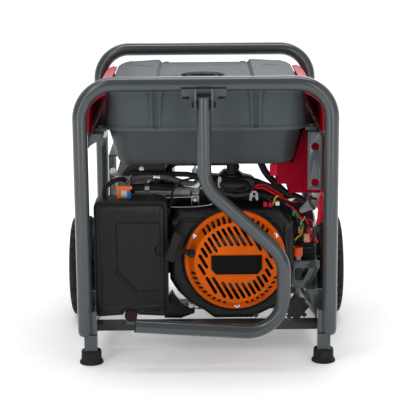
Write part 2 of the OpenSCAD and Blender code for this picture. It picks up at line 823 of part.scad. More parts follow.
// Two duplex outlets with their hinge lugs and two round locking outlets
module outlets() placed() color([0.08, 0.08, 0.09]) {
  for (y = outlet_y) {
    block([panel_x, y - 17, 366], [panel_x + 4, y + 17, 438]);
    for (s = [-1, 1]) difference() {
      block([panel_x, y + s * 38 - 2, hinge_z - 5], [panel_x + 12, y + s * 38 + 2, hinge_z + 5]);
      cover_pin_hole(y);
    }
  }
  for (y = [345, 420]) difference() {
    x_disc(y, 405, panel_x, panel_x + 8, 28);
    x_disc(y, 405, panel_x + 3, panel_x + 9, 20);
  }
}

module cover_pin_hole(y) y_disc(panel_x + 8, hinge_z, y - 50, y + 50, 2.05);

// Spring cover that hangs over a duplex outlet
module outlet_cover(y) placed() color(rubber_black) {
  y_disc(panel_x + 8, hinge_z, y - 41, y + 41, 2);
  block([panel_x + 6, y - 34, 362], [panel_x + 10, y + 34, hinge_z]);
  block([panel_x + 10, y - 10, 364], [panel_x + 14, y + 10, 370]);
}

module outlet_cover_1() outlet_cover(outlet_y[0]);

module outlet_cover_2() outlet_cover(outlet_y[1]);

module breaker(y) placed() color([0.9, 0.9, 0.9]) {
  x_disc(y, breaker_z, panel_x - 12, panel_x + 6, 5);
  x_disc(y, breaker_z, panel_x - 14, panel_x - 12, 8);
}

module breaker_1() breaker(outlet_y[0]);

module breaker_2() breaker(outlet_y[1]);

module start_switch() placed() color([0.85, 0.1, 0.1])
  block([panel_x - 8, switch_y - 10, switch_z - 15], [panel_x + 5, switch_y + 10, switch_z + 15]);

module hour_meter() placed() color([0.1, 0.1, 0.1])
  block([panel_x, 320, 452], [panel_x + 5, 368, 478]);

// Orange knob, its plug in the filler tube and the blade below it
module dipstick() placed() color(orange_red) translate(dip) {
  cylinder(h = 4, r = 9);
  translate([0, 0, 4]) cylinder(h = 18, r = 11);
  translate([0, 0, -14]) cylinder(h = 14, r = 3.9);
  translate([0, 0, -90]) cylinder(h = 80, r = 1.5);
}

// ---- Wheels ----

module tyre(side) placed() color(rubber_black) translate([side * hub_x, axle_y, wheel_r])
  rotate([0, side * 90, 0]) rotate_extrude() polygon([
    [84, 4], [90, 0], [104, 0], [116, 4], [wheel_r, 12], [wheel_r, tyre_w - 12],
    [116, tyre_w - 4], [104, tyre_w], [90, tyre_w], [84, tyre_w - 4]
  ]);

module rim(side) placed() color(soft_black) translate([side * hub_x, axle_y, wheel_r])
  rotate([0, side * 90, 0]) difference() {
    union() {
      rotate_extrude() polygon([[80, 4], [84, 4], [84, tyre_w - 4], [80, tyre_w - 4]]);
      translate([0, 0, 22]) cylinder(h = 8, r = 81);
      translate([0, 0, -2]) cylinder(h = 48, r = 18);
    }
    translate([0, 0, -3]) cylinder(h = 50, r = axle_d / 2 + 0.06);
    for (i = [0:4]) rotate(i * 72 + 18) translate([50, 0, 10]) cylinder(h = 30, r = 19);
  }

module tyre_left() tyre(-1);

module tyre_right() tyre(1);

module rim_left() rim(-1);

module rim_right() rim(1);

front_hoop();
rear_hoop();
cross_rails();
frame_brackets();
rubber_feet();
wheel_brackets();
axle_pins();
tank_rails();
handle_bracket();
rubber_mounts();
frame_bolts();
side_panels();
tank_upper_shell();
tank_lower_shell();
fuel_valve();
fuel_hose();
engine_block();
cylinder_head();
rocker_cover();
blower_housing();
recoil_cover();
air_cleaner_base();
air_cleaner_cover();
air_filter();
carburettor();
muffler();
muffler_guard();
starter_motor();
spark_plug();
alternator_stator();
alternator_end_cover();
battery();
battery_tray();
panel_box();
panel_face();
outlets();
hour_meter();
wiring_harness();
control_module();
fold_handle();
tyre_left();
tyre_right();
rim_left();
rim_right();
crankshaft();
flywheel();
recoil_pulley();
alternator_rotor();
recoil_grip();
starter_rope();
fuel_cap();
fuel_valve_knob();
choke_lever();
governor_arm();
dipstick();
outlet_cover_1();
outlet_cover_2();
breaker_1();
breaker_2();
start_switch();
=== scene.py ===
import math

import bmesh
import bpy
from mathutils import Matrix, Vector
from mathutils.geometry import delaunay_2d_cdt


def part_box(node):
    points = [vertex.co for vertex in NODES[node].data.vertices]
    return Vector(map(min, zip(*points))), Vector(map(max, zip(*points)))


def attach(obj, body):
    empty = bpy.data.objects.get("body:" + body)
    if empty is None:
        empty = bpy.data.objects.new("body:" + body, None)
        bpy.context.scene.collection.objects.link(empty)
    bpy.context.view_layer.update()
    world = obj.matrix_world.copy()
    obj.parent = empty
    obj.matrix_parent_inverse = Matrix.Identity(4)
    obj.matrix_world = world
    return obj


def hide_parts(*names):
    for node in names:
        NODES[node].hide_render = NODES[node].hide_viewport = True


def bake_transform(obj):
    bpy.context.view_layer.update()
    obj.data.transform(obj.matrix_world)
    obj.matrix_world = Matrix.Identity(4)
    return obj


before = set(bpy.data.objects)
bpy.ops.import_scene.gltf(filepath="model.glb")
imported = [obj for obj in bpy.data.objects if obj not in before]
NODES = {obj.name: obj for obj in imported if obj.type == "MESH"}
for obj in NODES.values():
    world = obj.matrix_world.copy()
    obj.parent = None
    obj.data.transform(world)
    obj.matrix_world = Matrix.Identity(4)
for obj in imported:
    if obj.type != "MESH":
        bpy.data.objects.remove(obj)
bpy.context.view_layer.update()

# Places are in millimetres: X to the right, Y back from the front hoop's plane, Z up.
MM = 0.001
DUST = (0.35, 0.33, 0.30)
TUBE_R = 16
SIDES = ((-1, "left"), (1, "right"))
UP, RIGHT, FORWARD, BACK = (0, 0, 1), (1, 0, 0), (0, -1, 0), (0, 1, 0)
FOOT_X, TOE_X = 257, 269
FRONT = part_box("front_hoop")[0].y + TUBE_R * MM


def at(x, y, z):
    """A place in the script's millimetres as a point in the frame's metres."""
    return Vector((x * MM, y * MM + FRONT, z * MM))


def span(node):
    """A CAD node's box in the script's millimetres."""
    lo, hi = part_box(node)
    shift = Vector((0, FRONT, 0))
    return (lo - shift) / MM, (hi - shift) / MM


# ---------------------------------------------------------------- materials


def graph(name):
    """A material with an empty node tree and one Principled shader."""
    m = bpy.data.materials.new(name)
    m.use_nodes = True
    nodes, links = m.node_tree.nodes, m.node_tree.links
    nodes.clear()
    out = nodes.new("ShaderNodeOutputMaterial")
    shader = nodes.new("ShaderNodeBsdfPrincipled")
    links.new(shader.outputs[0], out.inputs[0])
    return m, nodes, links, shader


def noise(nodes, links, coord, scale, detail=3.0, rough=0.55):
    n = nodes.new("ShaderNodeTexNoise")
    n.inputs["Scale"].default_value = scale
    n.inputs["Detail"].default_value = detail
    n.inputs["Roughness"].default_value = rough
    links.new(coord, n.inputs["Vector"])
    return n.outputs["Fac"]


def ramp(nodes, links, fac, stops):
    """A colour from a value, by stops of (place, colour)."""
    r = nodes.new("ShaderNodeValToRGB")
    r.color_ramp.elements[0].position = stops[0][0]
    r.color_ramp.elements[0].color = (*stops[0][1], 1)
    r.color_ramp.elements[1].position = stops[-1][0]
    r.color_ramp.elements[1].color = (*stops[-1][1], 1)
    for place, colour in stops[1:-1]:
        e = r.color_ramp.elements.new(place)
        e.color = (*colour, 1)
    links.new(fac, r.inputs[0])
    return r.outputs[0]


def mixed(nodes, links, fac, base, colour):
    """The base colour with another one laid over it where fac is high."""
    mix = nodes.new("ShaderNodeMix")
    mix.data_type = "RGBA"
    links.new(fac, mix.inputs["Factor"])
    links.new(base, mix.inputs["A"])
    mix.inputs["B"].default_value = (*colour, 1)
    return mix.outputs["Result"]


def bumped(nodes, links, shader, height, strength, distance):
    """Gives the shader a bump from a height."""
    b = nodes.new("ShaderNodeBump")
    b.inputs["Strength"].default_value = strength
    b.inputs["Distance"].default_value = distance
    links.new(height, b.inputs["Height"])
    links.new(b.outputs[0], shader.inputs["Normal"])


def grey(v):
    return (v, v, v)


def shade(c, k):
    """A colour made k times as bright."""
    return tuple(min(1.0, max(0.0, v * k)) for v in c)


def material(name, colour, rough=0.5, metal=0.0, vary=0.12, patch=18, grain=900, bump=0.12, depth=0.0003,
        rough_vary=0.12, coat=0.0, wear=None, spec=0.5, dust=0.0):
    """Paint, plastic or metal: a base colour with slow patches, a fine grained bump, varied gloss,
    and where asked for worn edges and dust."""
    m, nodes, links, shader = graph(name)
    coord = nodes.new("ShaderNodeTexCoord").outputs["Object"]
    slow = noise(nodes, links, coord, patch, 4)
    fine = noise(nodes, links, coord, grain, 2)
    base = ramp(nodes, links, slow, [(0.3, shade(colour, 1 - vary)), (0.7, shade(colour, 1 + vary))])
    if wear:
        geo = nodes.new("ShaderNodeNewGeometry")
        speck = nodes.new("ShaderNodeMath")
        speck.operation = "MULTIPLY_ADD"
        links.new(noise(nodes, links, coord, 120, 4), speck.inputs[0])
        speck.inputs[1].default_value = 0.12
        links.new(geo.outputs["Pointiness"], speck.inputs[2])
        edge = ramp(nodes, links, speck.outputs[0], [(0.60, grey(0)), (0.68, grey(1))])
        base = mixed(nodes, links, edge, base, wear)
    if dust:
        cloud = ramp(nodes, links, noise(nodes, links, coord, 45, 6, 0.7),
            [(0.45, grey(0)), (0.75, grey(dust))])
        base = mixed(nodes, links, cloud, base, DUST)
    links.new(base, shader.inputs["Base Color"])
    gloss = ramp(nodes, links, noise(nodes, links, coord, patch * 4, 5, 0.65),
        [(0.3, grey(max(0.02, rough - rough_vary))), (0.7, grey(min(1.0, rough + rough_vary)))])
    links.new(gloss, shader.inputs["Roughness"])
    shader.inputs["Metallic"].default_value = metal
    shader.inputs["Specular IOR Level"].default_value = spec
    shader.inputs["Coat Weight"].default_value = coat
    shader.inputs["Coat Roughness"].default_value = 0.12
    bumped(nodes, links, shader, fine, bump, depth)
    return m


def brushed(name, colour, rough):
    """Drawn or turned steel: streaks along one direction."""
    m, nodes, links, shader = graph(name)
    coord = nodes.new("ShaderNodeTexCoord").outputs["Object"]
    scale = nodes.new("ShaderNodeMapping")
    scale.inputs["Scale"].default_value = (1, 1, 40)
    links.new(coord, scale.inputs["Vector"])
    streak = noise(nodes, links, scale.outputs[0], 60, 6, 0.7)
    links.new(ramp(nodes, links, streak, [(0.3, shade(colour, 0.75)), (0.7, shade(colour, 1.15))]),
        shader.inputs["Base Color"])
    links.new(ramp(nodes, links, streak, [(0.3, grey(rough - 0.1)), (0.7, grey(rough + 0.15))]),
        shader.inputs["Roughness"])
    shader.inputs["Metallic"].default_value = 1.0
    bumped(nodes, links, shader, streak, 0.15, 0.0002)
    return m


def corrugated(name, colour, pitch=0.0035):
    """Ribbed tube or stacked sheets: fine ribs across X."""
    m, nodes, links, shader = graph(name)
    coord = nodes.new("ShaderNodeTexCoord").outputs["Object"]
    wave = nodes.new("ShaderNodeTexWave")
    wave.bands_direction = "X"
    wave.inputs["Scale"].default_value = 0.31 / pitch
    wave.inputs["Distortion"].default_value = 0.4
    links.new(coord, wave.inputs["Vector"])
    # the ribs' troughs are painted darker and their crests lighter: painted shade and highlight on the
    # ribs, which on stacked sheets also stand for the dark joints between them
    links.new(ramp(nodes, links, wave.outputs["Fac"],
            [(0.2, shade(colour, 0.45)), (0.8, shade(colour, 1.2))]), shader.inputs["Base Color"])
    links.new(ramp(nodes, links, noise(nodes, links, coord, 90), [(0.3, grey(0.4)), (0.7, grey(0.6))]),
        shader.inputs["Roughness"])
    bumped(nodes, links, shader, wave.outputs["Fac"], 0.8, 0.001)
    return m


SLATE = material("slate_powder_coat", (0.031, 0.042, 0.047), rough=0.30, vary=0.03, grain=1500, bump=0.03,
    depth=0.0002, coat=0.65, wear=(0.040, 0.052, 0.056), rough_vary=0.02, spec=0.40)
TANK = material("tank_paint", (0.078, 0.094, 0.100), vary=0.05, grain=1400, bump=0.10, depth=0.0002,
    rough_vary=0.06, spec=0.1)
# a darker copy of the tank paint for the downward-facing lower shell: painted shade
TANK_PAINTED_SHADE = material("tank_paint_painted_shade", (0.036, 0.044, 0.048), rough=0.42, vary=0.06, grain=1400, bump=0.10,
    depth=0.0002, coat=0.05, rough_vary=0.06, spec=0.25)
# a darker copy of the frame's slate paint for the cross rails and the covers' end plates: painted shade
SLATE_PAINTED_SHADE = material("bracket_paint", (0.026, 0.031, 0.034), rough=0.45, vary=0.08,
    wear=(0.045, 0.050, 0.052), spec=0.12)
RED = material("red_paint", (0.52, 0.002, 0.026), rough=0.34, vary=0.06, grain=1300, bump=0.08, coat=0.03,
    wear=(0.6, 0.02, 0.05), rough_vary=0.06, spec=0.12)
# a darker copy of the red paint for the covers' insides, the panel box and the ledges: painted shade
RED_PAINTED_SHADE = material("red_paint_painted_shade", (0.27, 0.001, 0.014), rough=0.7, grain=1300, bump=0.08, spec=0.06)
ORANGE = material("orange_paint", (0.64, 0.100, 0.001), rough=0.42, vary=0.10, grain=1100, bump=0.25,
    wear=(0.58, 0.14, 0.02), rough_vary=0.08, spec=0.10)
BLACK = material("black_plastic", (0.0105, 0.0105, 0.0105), rough=0.6, vary=0.15, grain=1500, bump=0.30,
    wear=(0.03, 0.03, 0.03), spec=0.22)
BLACK_PAINT = material("black_paint", (0.007, 0.007, 0.0075), rough=0.38, vary=0.15, grain=1100, bump=0.15,
    coat=0.05, wear=(0.04, 0.04, 0.04), spec=0.22)
RUBBER = material("rubber", (0.009, 0.009, 0.009), rough=0.65, vary=0.2, grain=700, bump=0.4, dust=0.05,
    spec=0.2)
STOP_RUBBER = material("stop_rubber", (0.030, 0.012, 0.012), rough=0.7, vary=0.15, bump=0.4, spec=0.2)
TYRE = material("tyre_rubber", (0.010, 0.010, 0.011), rough=0.75, vary=0.2, grain=500, bump=0.5, dust=0.08,
    spec=0.2)
RIM = material("rim_plastic", (0.016, 0.016, 0.017), bump=0.25, spec=0.3)
ALLOY = material("cast_alloy", (0.20, 0.205, 0.21), metal=0.8, vary=0.18, patch=30, grain=420, bump=0.55,
    depth=0.0006, dust=0.15)
IRON = material("cast_iron", (0.045, 0.045, 0.048), rough=0.55, metal=0.6, vary=0.2, grain=350, bump=0.6,
    depth=0.0006)
LAMINATED = corrugated("stacked_sheets", (0.16, 0.16, 0.165), 0.004)
# grey for the patches on the dome bracket, which stand for its grey highlight: painted highlight
GREY_HIGHLIGHT = material("painted_highlight_grey", (0.13, 0.13, 0.13), metal=0.3, vary=0.2, grain=500, bump=0.2)
ZINC = brushed("zinc_steel", (0.50, 0.50, 0.49), 0.28)
CHROME = material("bright_screw", (0.7, 0.7, 0.71), rough=0.2, metal=1.0, vary=0.1, grain=800, bump=0.1)
BRASS = material("brass", (0.55, 0.36, 0.11), rough=0.32, metal=1.0, vary=0.2, grain=700, bump=0.15)
MUFFLER = material("muffler_steel", (0.20, 0.175, 0.155), rough=0.45, metal=0.9, vary=0.35, patch=9,
    grain=500, bump=0.35, dust=0.12)
SOCKET = material("socket_plastic", (0.012, 0.012, 0.013), rough=0.3, vary=0.1, bump=0.1, spec=0.3)
WHITE = material("white_plastic", (0.72, 0.72, 0.69), rough=0.35, vary=0.05, bump=0.1)
KNOB = material("orange_plastic", (0.60, 0.065, 0.004), rough=0.35, bump=0.15, spec=0.3)
FOAM = material("filter_foam", (0.45, 0.40, 0.28), rough=0.9, vary=0.2, grain=260, bump=0.9, depth=0.001)
ROPE = material("braided_rope", (0.022, 0.022, 0.022), rough=0.85, vary=0.3, grain=380, bump=0.9,
    depth=0.0006)
LOOM = corrugated("grey_loom", (0.075, 0.075, 0.075))
BLACK_LOOM = corrugated("black_loom", (0.014, 0.014, 0.014))
WIRE_BLACK = material("black_wire", (0.009, 0.009, 0.009), rough=0.4, vary=0.1, spec=0.3)
WIRE_RED, WIRE_GREEN, WIRE_YELLOW, WIRE_WHITE = (material(name + "_wire", colour, rough=0.35, vary=0.1,
        spec=0.3) for name,
    colour in (("red", (0.50, 0.004, 0.008)), ("green", (0.02, 0.28, 0.03)), ("yellow", (0.62, 0.42, 0.02)),
        ("white", (0.55, 0.55, 0.53))))
TAN = material("tan_connector", (0.55, 0.28, 0.13), rough=0.45, vary=0.1)
RELAY = material("relay_can", (0.30, 0.30, 0.30), metal=0.3, vary=0.15, grain=400, bump=0.4, spec=0.3)
BLUE = material("blue_tag", (0.01, 0.09, 0.42), rough=0.4, vary=0.1)
TAG = material("orange_tag", (0.80, 0.14, 0.01), rough=0.4, vary=0.08, spec=0.3)
SILVER = material("silver_sheet", (0.34, 0.34, 0.335), rough=0.35, metal=0.9, vary=0.25, patch=40,
    grain=300, bump=0.4)
PLATE = material("plate_black", (0.003, 0.003, 0.003), vary=0.1, bump=0.08, spec=0.08)
SILVER_DARK = material("dark_sheet", (0.026, 0.027, 0.027), metal=0.3, vary=0.3, patch=40, grain=500,
    bump=0.3, spec=0.2)
CONNECTOR_RED = material("red_connector", (0.42, 0.006, 0.022), rough=0.4, grain=800, bump=0.15, spec=0.25)
BLUE_WIRE = material("blue_wire", (0.02, 0.08, 0.45), rough=0.35, vary=0.1)
BATTERY = material("battery_plastic", (0.010, 0.010, 0.011), rough=0.45, vary=0.15, bump=0.2, spec=0.25)
SWITCH_RED = material("switch_plastic", (0.5, 0.006, 0.006), rough=0.3, vary=0.08, bump=0.08)
GLASS = material("meter_window", (0.02, 0.03, 0.03), rough=0.08, vary=0.1, bump=0.02, coat=0.6)

# a shared material slot name for each material, unless a piece names another; finish_mesh looks it up but
# gives it to nothing
SLOTS = {
    "black_plastic": (BLACK, PLATE, BLUE, LOOM, BLACK_LOOM),
    "black_paint": (BLACK_PAINT, SILVER_DARK),
    "bracket_paint": (SLATE, SLATE_PAINTED_SHADE),
    "zinc_steel": (ZINC, CHROME, SILVER, GREY_HIGHLIGHT, RELAY),
    "rubber": (RUBBER, STOP_RUBBER),
    "white_plastic": (WHITE, TAN, WIRE_GREEN),
    "red_panel": (RED, RED_PAINTED_SHADE),
    "red_switch": (SWITCH_RED, CONNECTOR_RED),
    "tank_paint": (TANK, TANK_PAINTED_SHADE),
    "socket_plastic": (SOCKET, GLASS),
    "orange_cover": (ORANGE,),
    "orange_knob": (TAG,),
    "cast_alloy": (ALLOY,),
    "battery_case": (BATTERY,),
    "tyre": (TYRE,),
    "rim_plastic": (RIM,),
    "brass": (BRASS,),
}
SLOT_OF = {mat.name: slot for slot, mats in SLOTS.items() for mat in mats}

# ---------------------------------------------------------------- mesh helpers


def soften(obj, width, angle):
    """Rounds the edges that turn by more than angle."""
    b = obj.modifiers.new("edges", "BEVEL")
    b.width = width * MM
    b.segments = 2
    b.limit_method = "ANGLE"
    b.angle_limit = math.radians(angle)


def finish_mesh(obj, mat, body, bevel=0.0, angle=35, slot=None, replaces=()):
    """Gives a piece its material, soft edges and shading, and fixes it to a body."""
    obj.data.materials.clear()
    obj.data.materials.append(mat)
    if bevel:
        soften(obj, bevel, angle)
    for p in obj.data.polygons:
        p.use_smooth = True
    obj.data.set_sharp_from_angle(angle=math.radians(angle))
    if bevel or angle < 34:
        wn = obj.modifiers.new("shading", "WEIGHTED_NORMAL")
        wn.keep_sharp = True
    if body:
        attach(obj, body)
    if replaces:
        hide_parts(*replaces)
    slot = slot or SLOT_OF.get(mat.name)
    return obj


def new_object(name, bm):
    bmesh.ops.recalc_face_normals(bm, faces=bm.faces)
    mesh = bpy.data.meshes.new(name)
    bm.to_mesh(mesh)
    bm.free()
    obj = bpy.data.objects.new(name, mesh)
    bpy.context.scene.collection.objects.link(obj)
    return obj


def bm_box(bm, lo, hi, turn=None):
    """Adds a box between two corners in millimetres; turn is a matrix applied about its centre."""
    lo, hi = at(*lo), at(*hi)
    mid, size = (lo + hi) / 2, hi - lo
    m = Matrix.Translation(mid) @ (turn.to_4x4() if turn else Matrix.Identity(4)) @ Matrix.Diagonal((*size,
            1))
    bmesh.ops.create_cube(bm, size=1, matrix=m)


def skin(bm, rings, cap):
    """Faces between each ring of vertices and the next; cap closes both ends."""
    for a, b in zip(rings, rings[1:]):
        for i in range(len(a)):
            j = (i + 1) % len(a)
            bm.faces.new((a[i], a[j], b[j], b[i]))
    if cap:
        bm.faces.new(rings[0])
        bm.faces.new(rings[-1])


def piece(name, bm, mat, body="frame", bevel=0.0, **kw):
    """One finished piece from a bmesh; the words after bevel go to finish_mesh."""
    return finish_mesh(new_object(name, bm), mat, body, bevel, **kw)


def boxes(name, spans, mat, bevel=0.8, **kw):
    """One piece of boxes on the frame, each given by two corners and perhaps a turn."""
    bm = bmesh.new()
    for s in spans:
        bm_box(bm, *s)
    return piece(name, bm, mat, bevel=bevel, **kw)


def axis_frame(d):
    """A rotation that turns +Z to d."""
    return Vector(d).normalized().to_track_quat("Z", "Y").to_matrix().to_4x4()


def bm_revolve(bm, profile, centre, direction, steps=64, closed=False):
    """Adds a surface turned from (radius, height) points about an axis through centre, in millimetres."""
    place = Matrix.Translation(at(*centre)) @ axis_frame(direction)
    rings = []
    for r, h in profile:
        if r < 1e-6:
            rings.append([bm.verts.new(place @ Vector((0, 0, h * MM)))])
            continue
        rings.append([bm.verts.new(place @ Vector((r * MM * math.cos(a), r * MM * math.sin(a), h * MM)))
                for a in (2 * math.pi * i / steps for i in range(steps))])
    pairs = list(zip(rings, rings[1:])) + ([(rings[-1], rings[0])] if closed else [])
    for a, b in pairs:
        for i in range(steps):
            j = (i + 1) % steps
            if len(a) == 1 and len(b) == 1:
                continue
            if len(a) == 1:
                bm.faces.new((a[0], b[i], b[j]))
            elif len(b) == 1:
                bm.faces.new((a[i], a[j], b[0]))
            else:
                bm.faces.new((a[i], a[j], b[j], b[i]))


def turned(name, profile, centre, direction, mat, body="frame", steps=64, closed=False, bevel=0.0, **kw):
    """One piece turned from a profile; see bm_revolve."""
    bm = bmesh.new()
    bm_revolve(bm, profile, centre, direction, steps, closed)
    return piece(name, bm, mat, body, bevel, **kw)


def smooth_path(points, per=8):
    """A Catmull-Rom curve through the points."""
    p = [Vector(q) for q in points]
    p = [p[0] * 2 - p[1]] + p + [p[-1] * 2 - p[-2]]
    out = []
    for i in range(1, len(p) - 2):
        a, b, c, d = p[i - 1], p[i], p[i + 1], p[i + 2]
        for k in range(per):
            t = k / per
            out.append(0.5 * ((2 * b) + (c - a) * t + (2 * a - 5 * b + 4 * c - d) * t * t
                    + (3 * b - a - 3 * c + d) * t ** 3))
    out.append(p[-2])
    return out


def bm_tube(bm, points, r, sides=12, smooth=True, per=8):
    """Adds a round tube along points in millimetres, with no twist."""
    path = [at(*q) for q in (smooth_path(points, per) if smooth else points)]
    rings, side = [], None
    for i, q in enumerate(path):
        d = (path[min(i + 1, len(path) - 1)] - path[max(i - 1, 0)]).normalized()
        if side is None:
            side = d.orthogonal().normalized()
        side = (side - d * side.dot(d)).normalized()
        up = d.cross(side)
        rings.append([bm.verts.new(q + r * MM * (math.cos(a) * side + math.sin(a) * up))
                for a in (2 * math.pi * k / sides for k in range(sides))])
    skin(bm, rings, True)


def hose(name, points, r, mat, body="frame", sides=12, per=8, smooth=True, **kw):
    bm = bmesh.new()
    bm_tube(bm, points, r, sides, smooth, per)
    return piece(name, bm, mat, body, **kw)


def flat(name, outline, holes, thick, place, mat, body="frame", edge=0.4, **kw):
    """A flat plate with holes and rounded edges. place turns (u, v, w) in millimetres into the frame."""
    cu = bpy.data.curves.new(name, "CURVE")
    cu.dimensions = "2D"
    cu.fill_mode = "BOTH"
    cu.extrude = max(thick / 2 - edge, 0.01) * MM
    cu.bevel_depth = edge * MM
    cu.bevel_resolution = 1
    cu.offset = -edge * MM
    for loop in [outline] + list(holes):
        s = cu.splines.new("POLY")
        s.points.add(len(loop) - 1)
        for q, (u, v) in zip(s.points, loop):
            q.co = (u * MM, v * MM, 0, 1)
        s.use_cyclic_u = True
    tmp = bpy.data.objects.new(name + "_curve", cu)
    bpy.context.scene.collection.objects.link(tmp)
    bpy.context.view_layer.update()
    mesh = bpy.data.meshes.new_from_object(tmp.evaluated_get(bpy.context.evaluated_depsgraph_get()))
    bpy.data.objects.remove(tmp)
    bpy.data.curves.remove(cu)
    mesh.name = name
    for v in mesh.vertices:
        v.co = place(v.co.x / MM, v.co.y / MM, v.co.z / MM)
    bm = bmesh.new()
    bm.from_mesh(mesh)
    bmesh.ops.remove_doubles(bm, verts=bm.verts, dist=1e-6)
    obj = new_object(name, bm)
    bpy.data.meshes.remove(mesh)
    return finish_mesh(obj, mat, body, 0.0, **kw)


def arc(cx, cy, r, a0, a1, n):
    """n + 1 points from one angle to another, in degrees."""
    return [(cx + r * math.cos(math.radians(a0 + (a1 - a0) * i / n)), cy
            + r * math.sin(math.radians(a0 + (a1 - a0) * i / n))) for i in range(n + 1)]


def circle(r, n, cx=0, cy=0):
    """A full circle of n points."""
    return arc(cx, cy, r, 0, 360 * (n - 1) / n, n - 1)


def rounded(x0, y0, x1, y1, r, n=6):
    """Corner points of a rectangle with round corners."""
    return (arc(x1 - r, y0 + r, r, -90, 0, n) + arc(x1 - r, y1 - r, r, 0, 90, n)
        + arc(x0 + r, y1 - r, r, 90, 180, n) + arc(x0 + r, y0 + r, r, 180, 270, n))


def slot_loop(x0, y0, x1, y1, w, n=4):
    """A capsule-shaped hole from one point to another."""
    a = math.degrees(math.atan2(y1 - y0, x1 - x0))
    return arc(x1, y1, w / 2, a - 90, a + 90, n) + arc(x0, y0, w / 2, a + 90, a + 270, n)


def facing_front(y, x=0, z=0):
    """Plates that face the front: u is X from x, v is Z from z, and w runs forwards from y."""
    return lambda u, v, w: at(x + u, y - w, z + v)


def facing_right(x, y=0, z=0):
    """Plates that face the right: u is Y from y, v is Z from z, and w runs outwards from x."""
    return lambda u, v, w: at(x + w, y + u, z + v)


def facing_up(z):
    """Plates that lie flat: u is X, v is Y, and w runs up from z."""
    return lambda u, v, w: at(u, v, z + w)


def carry(node, mat):
    """Keeps a CAD node's own mesh and gives it a better material."""
    o = NODES[node]
    o.data.materials.clear()
    o.data.materials.append(mat)
    for p in o.data.polygons:
        p.material_index = 0


def loft(name, rings, mat, body, **kw):
    """A skin over rings of points in millimetres that all have the same count."""
    bm = bmesh.new()
    vs = [[bm.verts.new(at(*q)) for q in ring] for ring in rings]
    skin(bm, vs, True)
    return piece(name, bm, mat, body, **kw)


def hex_bolt(bm, centre, direction, r, h):
    """A hexagon head with a washer and a domed top."""
    place = Matrix.Translation(at(*centre)) @ axis_frame(direction)
    bm_revolve(bm, [(0, 0), (r * 1.3, 0), (r * 1.3, 1.2), (0, 1.2)], centre, direction, 24)
    ring = []
    for k, z in ((1.0, 1.2), (1.0, h - 0.8), (0.88, h)):
        ring.append([bm.verts.new(place @ Vector((k * r * MM * math.cos(a), k * r * MM * math.sin(a),
                    z * MM))) for a in (math.pi / 3 * i for i in range(6))])
    skin(bm, ring, True)


def bolts(name, mat, heads, direction=FORWARD):
    """One piece with a hexagon bolt for each (centre, radius, height)."""
    bm = bmesh.new()
    for centre, r, h in heads:
        hex_bolt(bm, centre, direction, r, h)
    return piece(name, bm, mat)


def pan_screw(bm, centre, direction, r):
    bm_revolve(bm, [(0, 0), (r, 0), (r, 1.2), (r * 0.8, 2.4), (r * 0.35, 3.0), (r * 0.33, 1.6), (0, 1.6)],
        centre, direction, 20)


# ---------------------------------------------------------------- moulded and pressed covers


def inset(loop, d):
    """A loop moved inwards by d, corner by corner; the loop runs anticlockwise."""
    out, n = [], len(loop)
    for i in range(n):
        a, b, c = Vector(loop[i - 1]), Vector(loop[i]), Vector(loop[(i + 1) % n])
        e, f = (b - a).normalized(), (c - b).normalized()
        normal = Vector((-e.y - f.y, e.x + f.x))
        if normal.length < 1e-9:
            normal = Vector((-e.y, e.x))
        normal.normalize()
        k = max(0.5, normal.dot(Vector((-e.y, e.x))))
        out.append(tuple(b + normal * d / k))
    return out


def inside(q, loop):
    """Whether a point lies in a closed loop."""
    hit, n = False, len(loop)
    for i in range(n):
        (x1, y1), (x2, y2) = loop[i - 1], loop[i]
        if (y1 > q[1]) != (y2 > q[1]) and q[0] < (x2 - x1) * (q[1] - y1) / (y2 - y1) + x1:
            hit = not hit
    return hit


def edge_distance(q, loop):
    """A point's distance from a closed loop."""
    best, p, n = 1e9, Vector(q), len(loop)
    for i in range(n):
        a, b = Vector(loop[i - 1]), Vector(loop[i])
        d = b - a
        t = max(0.0, min(1.0, (p - a).dot(d) / max(d.length_squared, 1e-12)))
        best = min(best, (p - a - d * t).length)
    return best


def fill(outline, holes, extra, step):
    """Triangles over an outline with holes: (points, triangles). extra lists the loops kept as edges."""
    pts, edges = [], []
    for loop in [outline] + list(holes) + list(extra):
        s = len(pts)
        pts += [Vector(q) for q in loop]
        edges += [(s + i, s + (i + 1) % len(loop)) for i in range(len(loop))]
    xs, ys = [q[0] for q in outline], [q[1] for q in outline]
    loops = [outline] + list(holes) + list(extra)
    row, y = 0, min(ys) + step / 2
    while y < max(ys):
        x = min(xs) + step * (0.5 if row % 2 else 1.0)
        while x < max(xs):
            q = (x, y)
            if inside(q, outline) and not any(inside(q, h) for h in holes):
                if min(edge_distance(q, lp) for lp in loops) > step * 0.35:
                    pts.append(Vector(q))
            x += step
        y += step * 0.87
        row += 1
    v, _, faces, *_ = delaunay_2d_cdt(pts, edges, [], 0, 1e-4)
    keep = []
    for f in faces:
        c = ((v[f[0]].x + v[f[1]].x + v[f[2]].x) / 3, (v[f[0]].y + v[f[1]].y + v[f[2]].y) / 3)
        if inside(c, outline) and not any(inside(c, h) for h in holes):
            keep.append(f)
    return v, keep


def face_out(obj, front):
    """Turns an open shell's faces so that its front looks along front."""
    total = sum((p.normal * p.area for p in obj.data.polygons), Vector())
    if total.dot(front) < 0:
        obj.data.flip_normals()


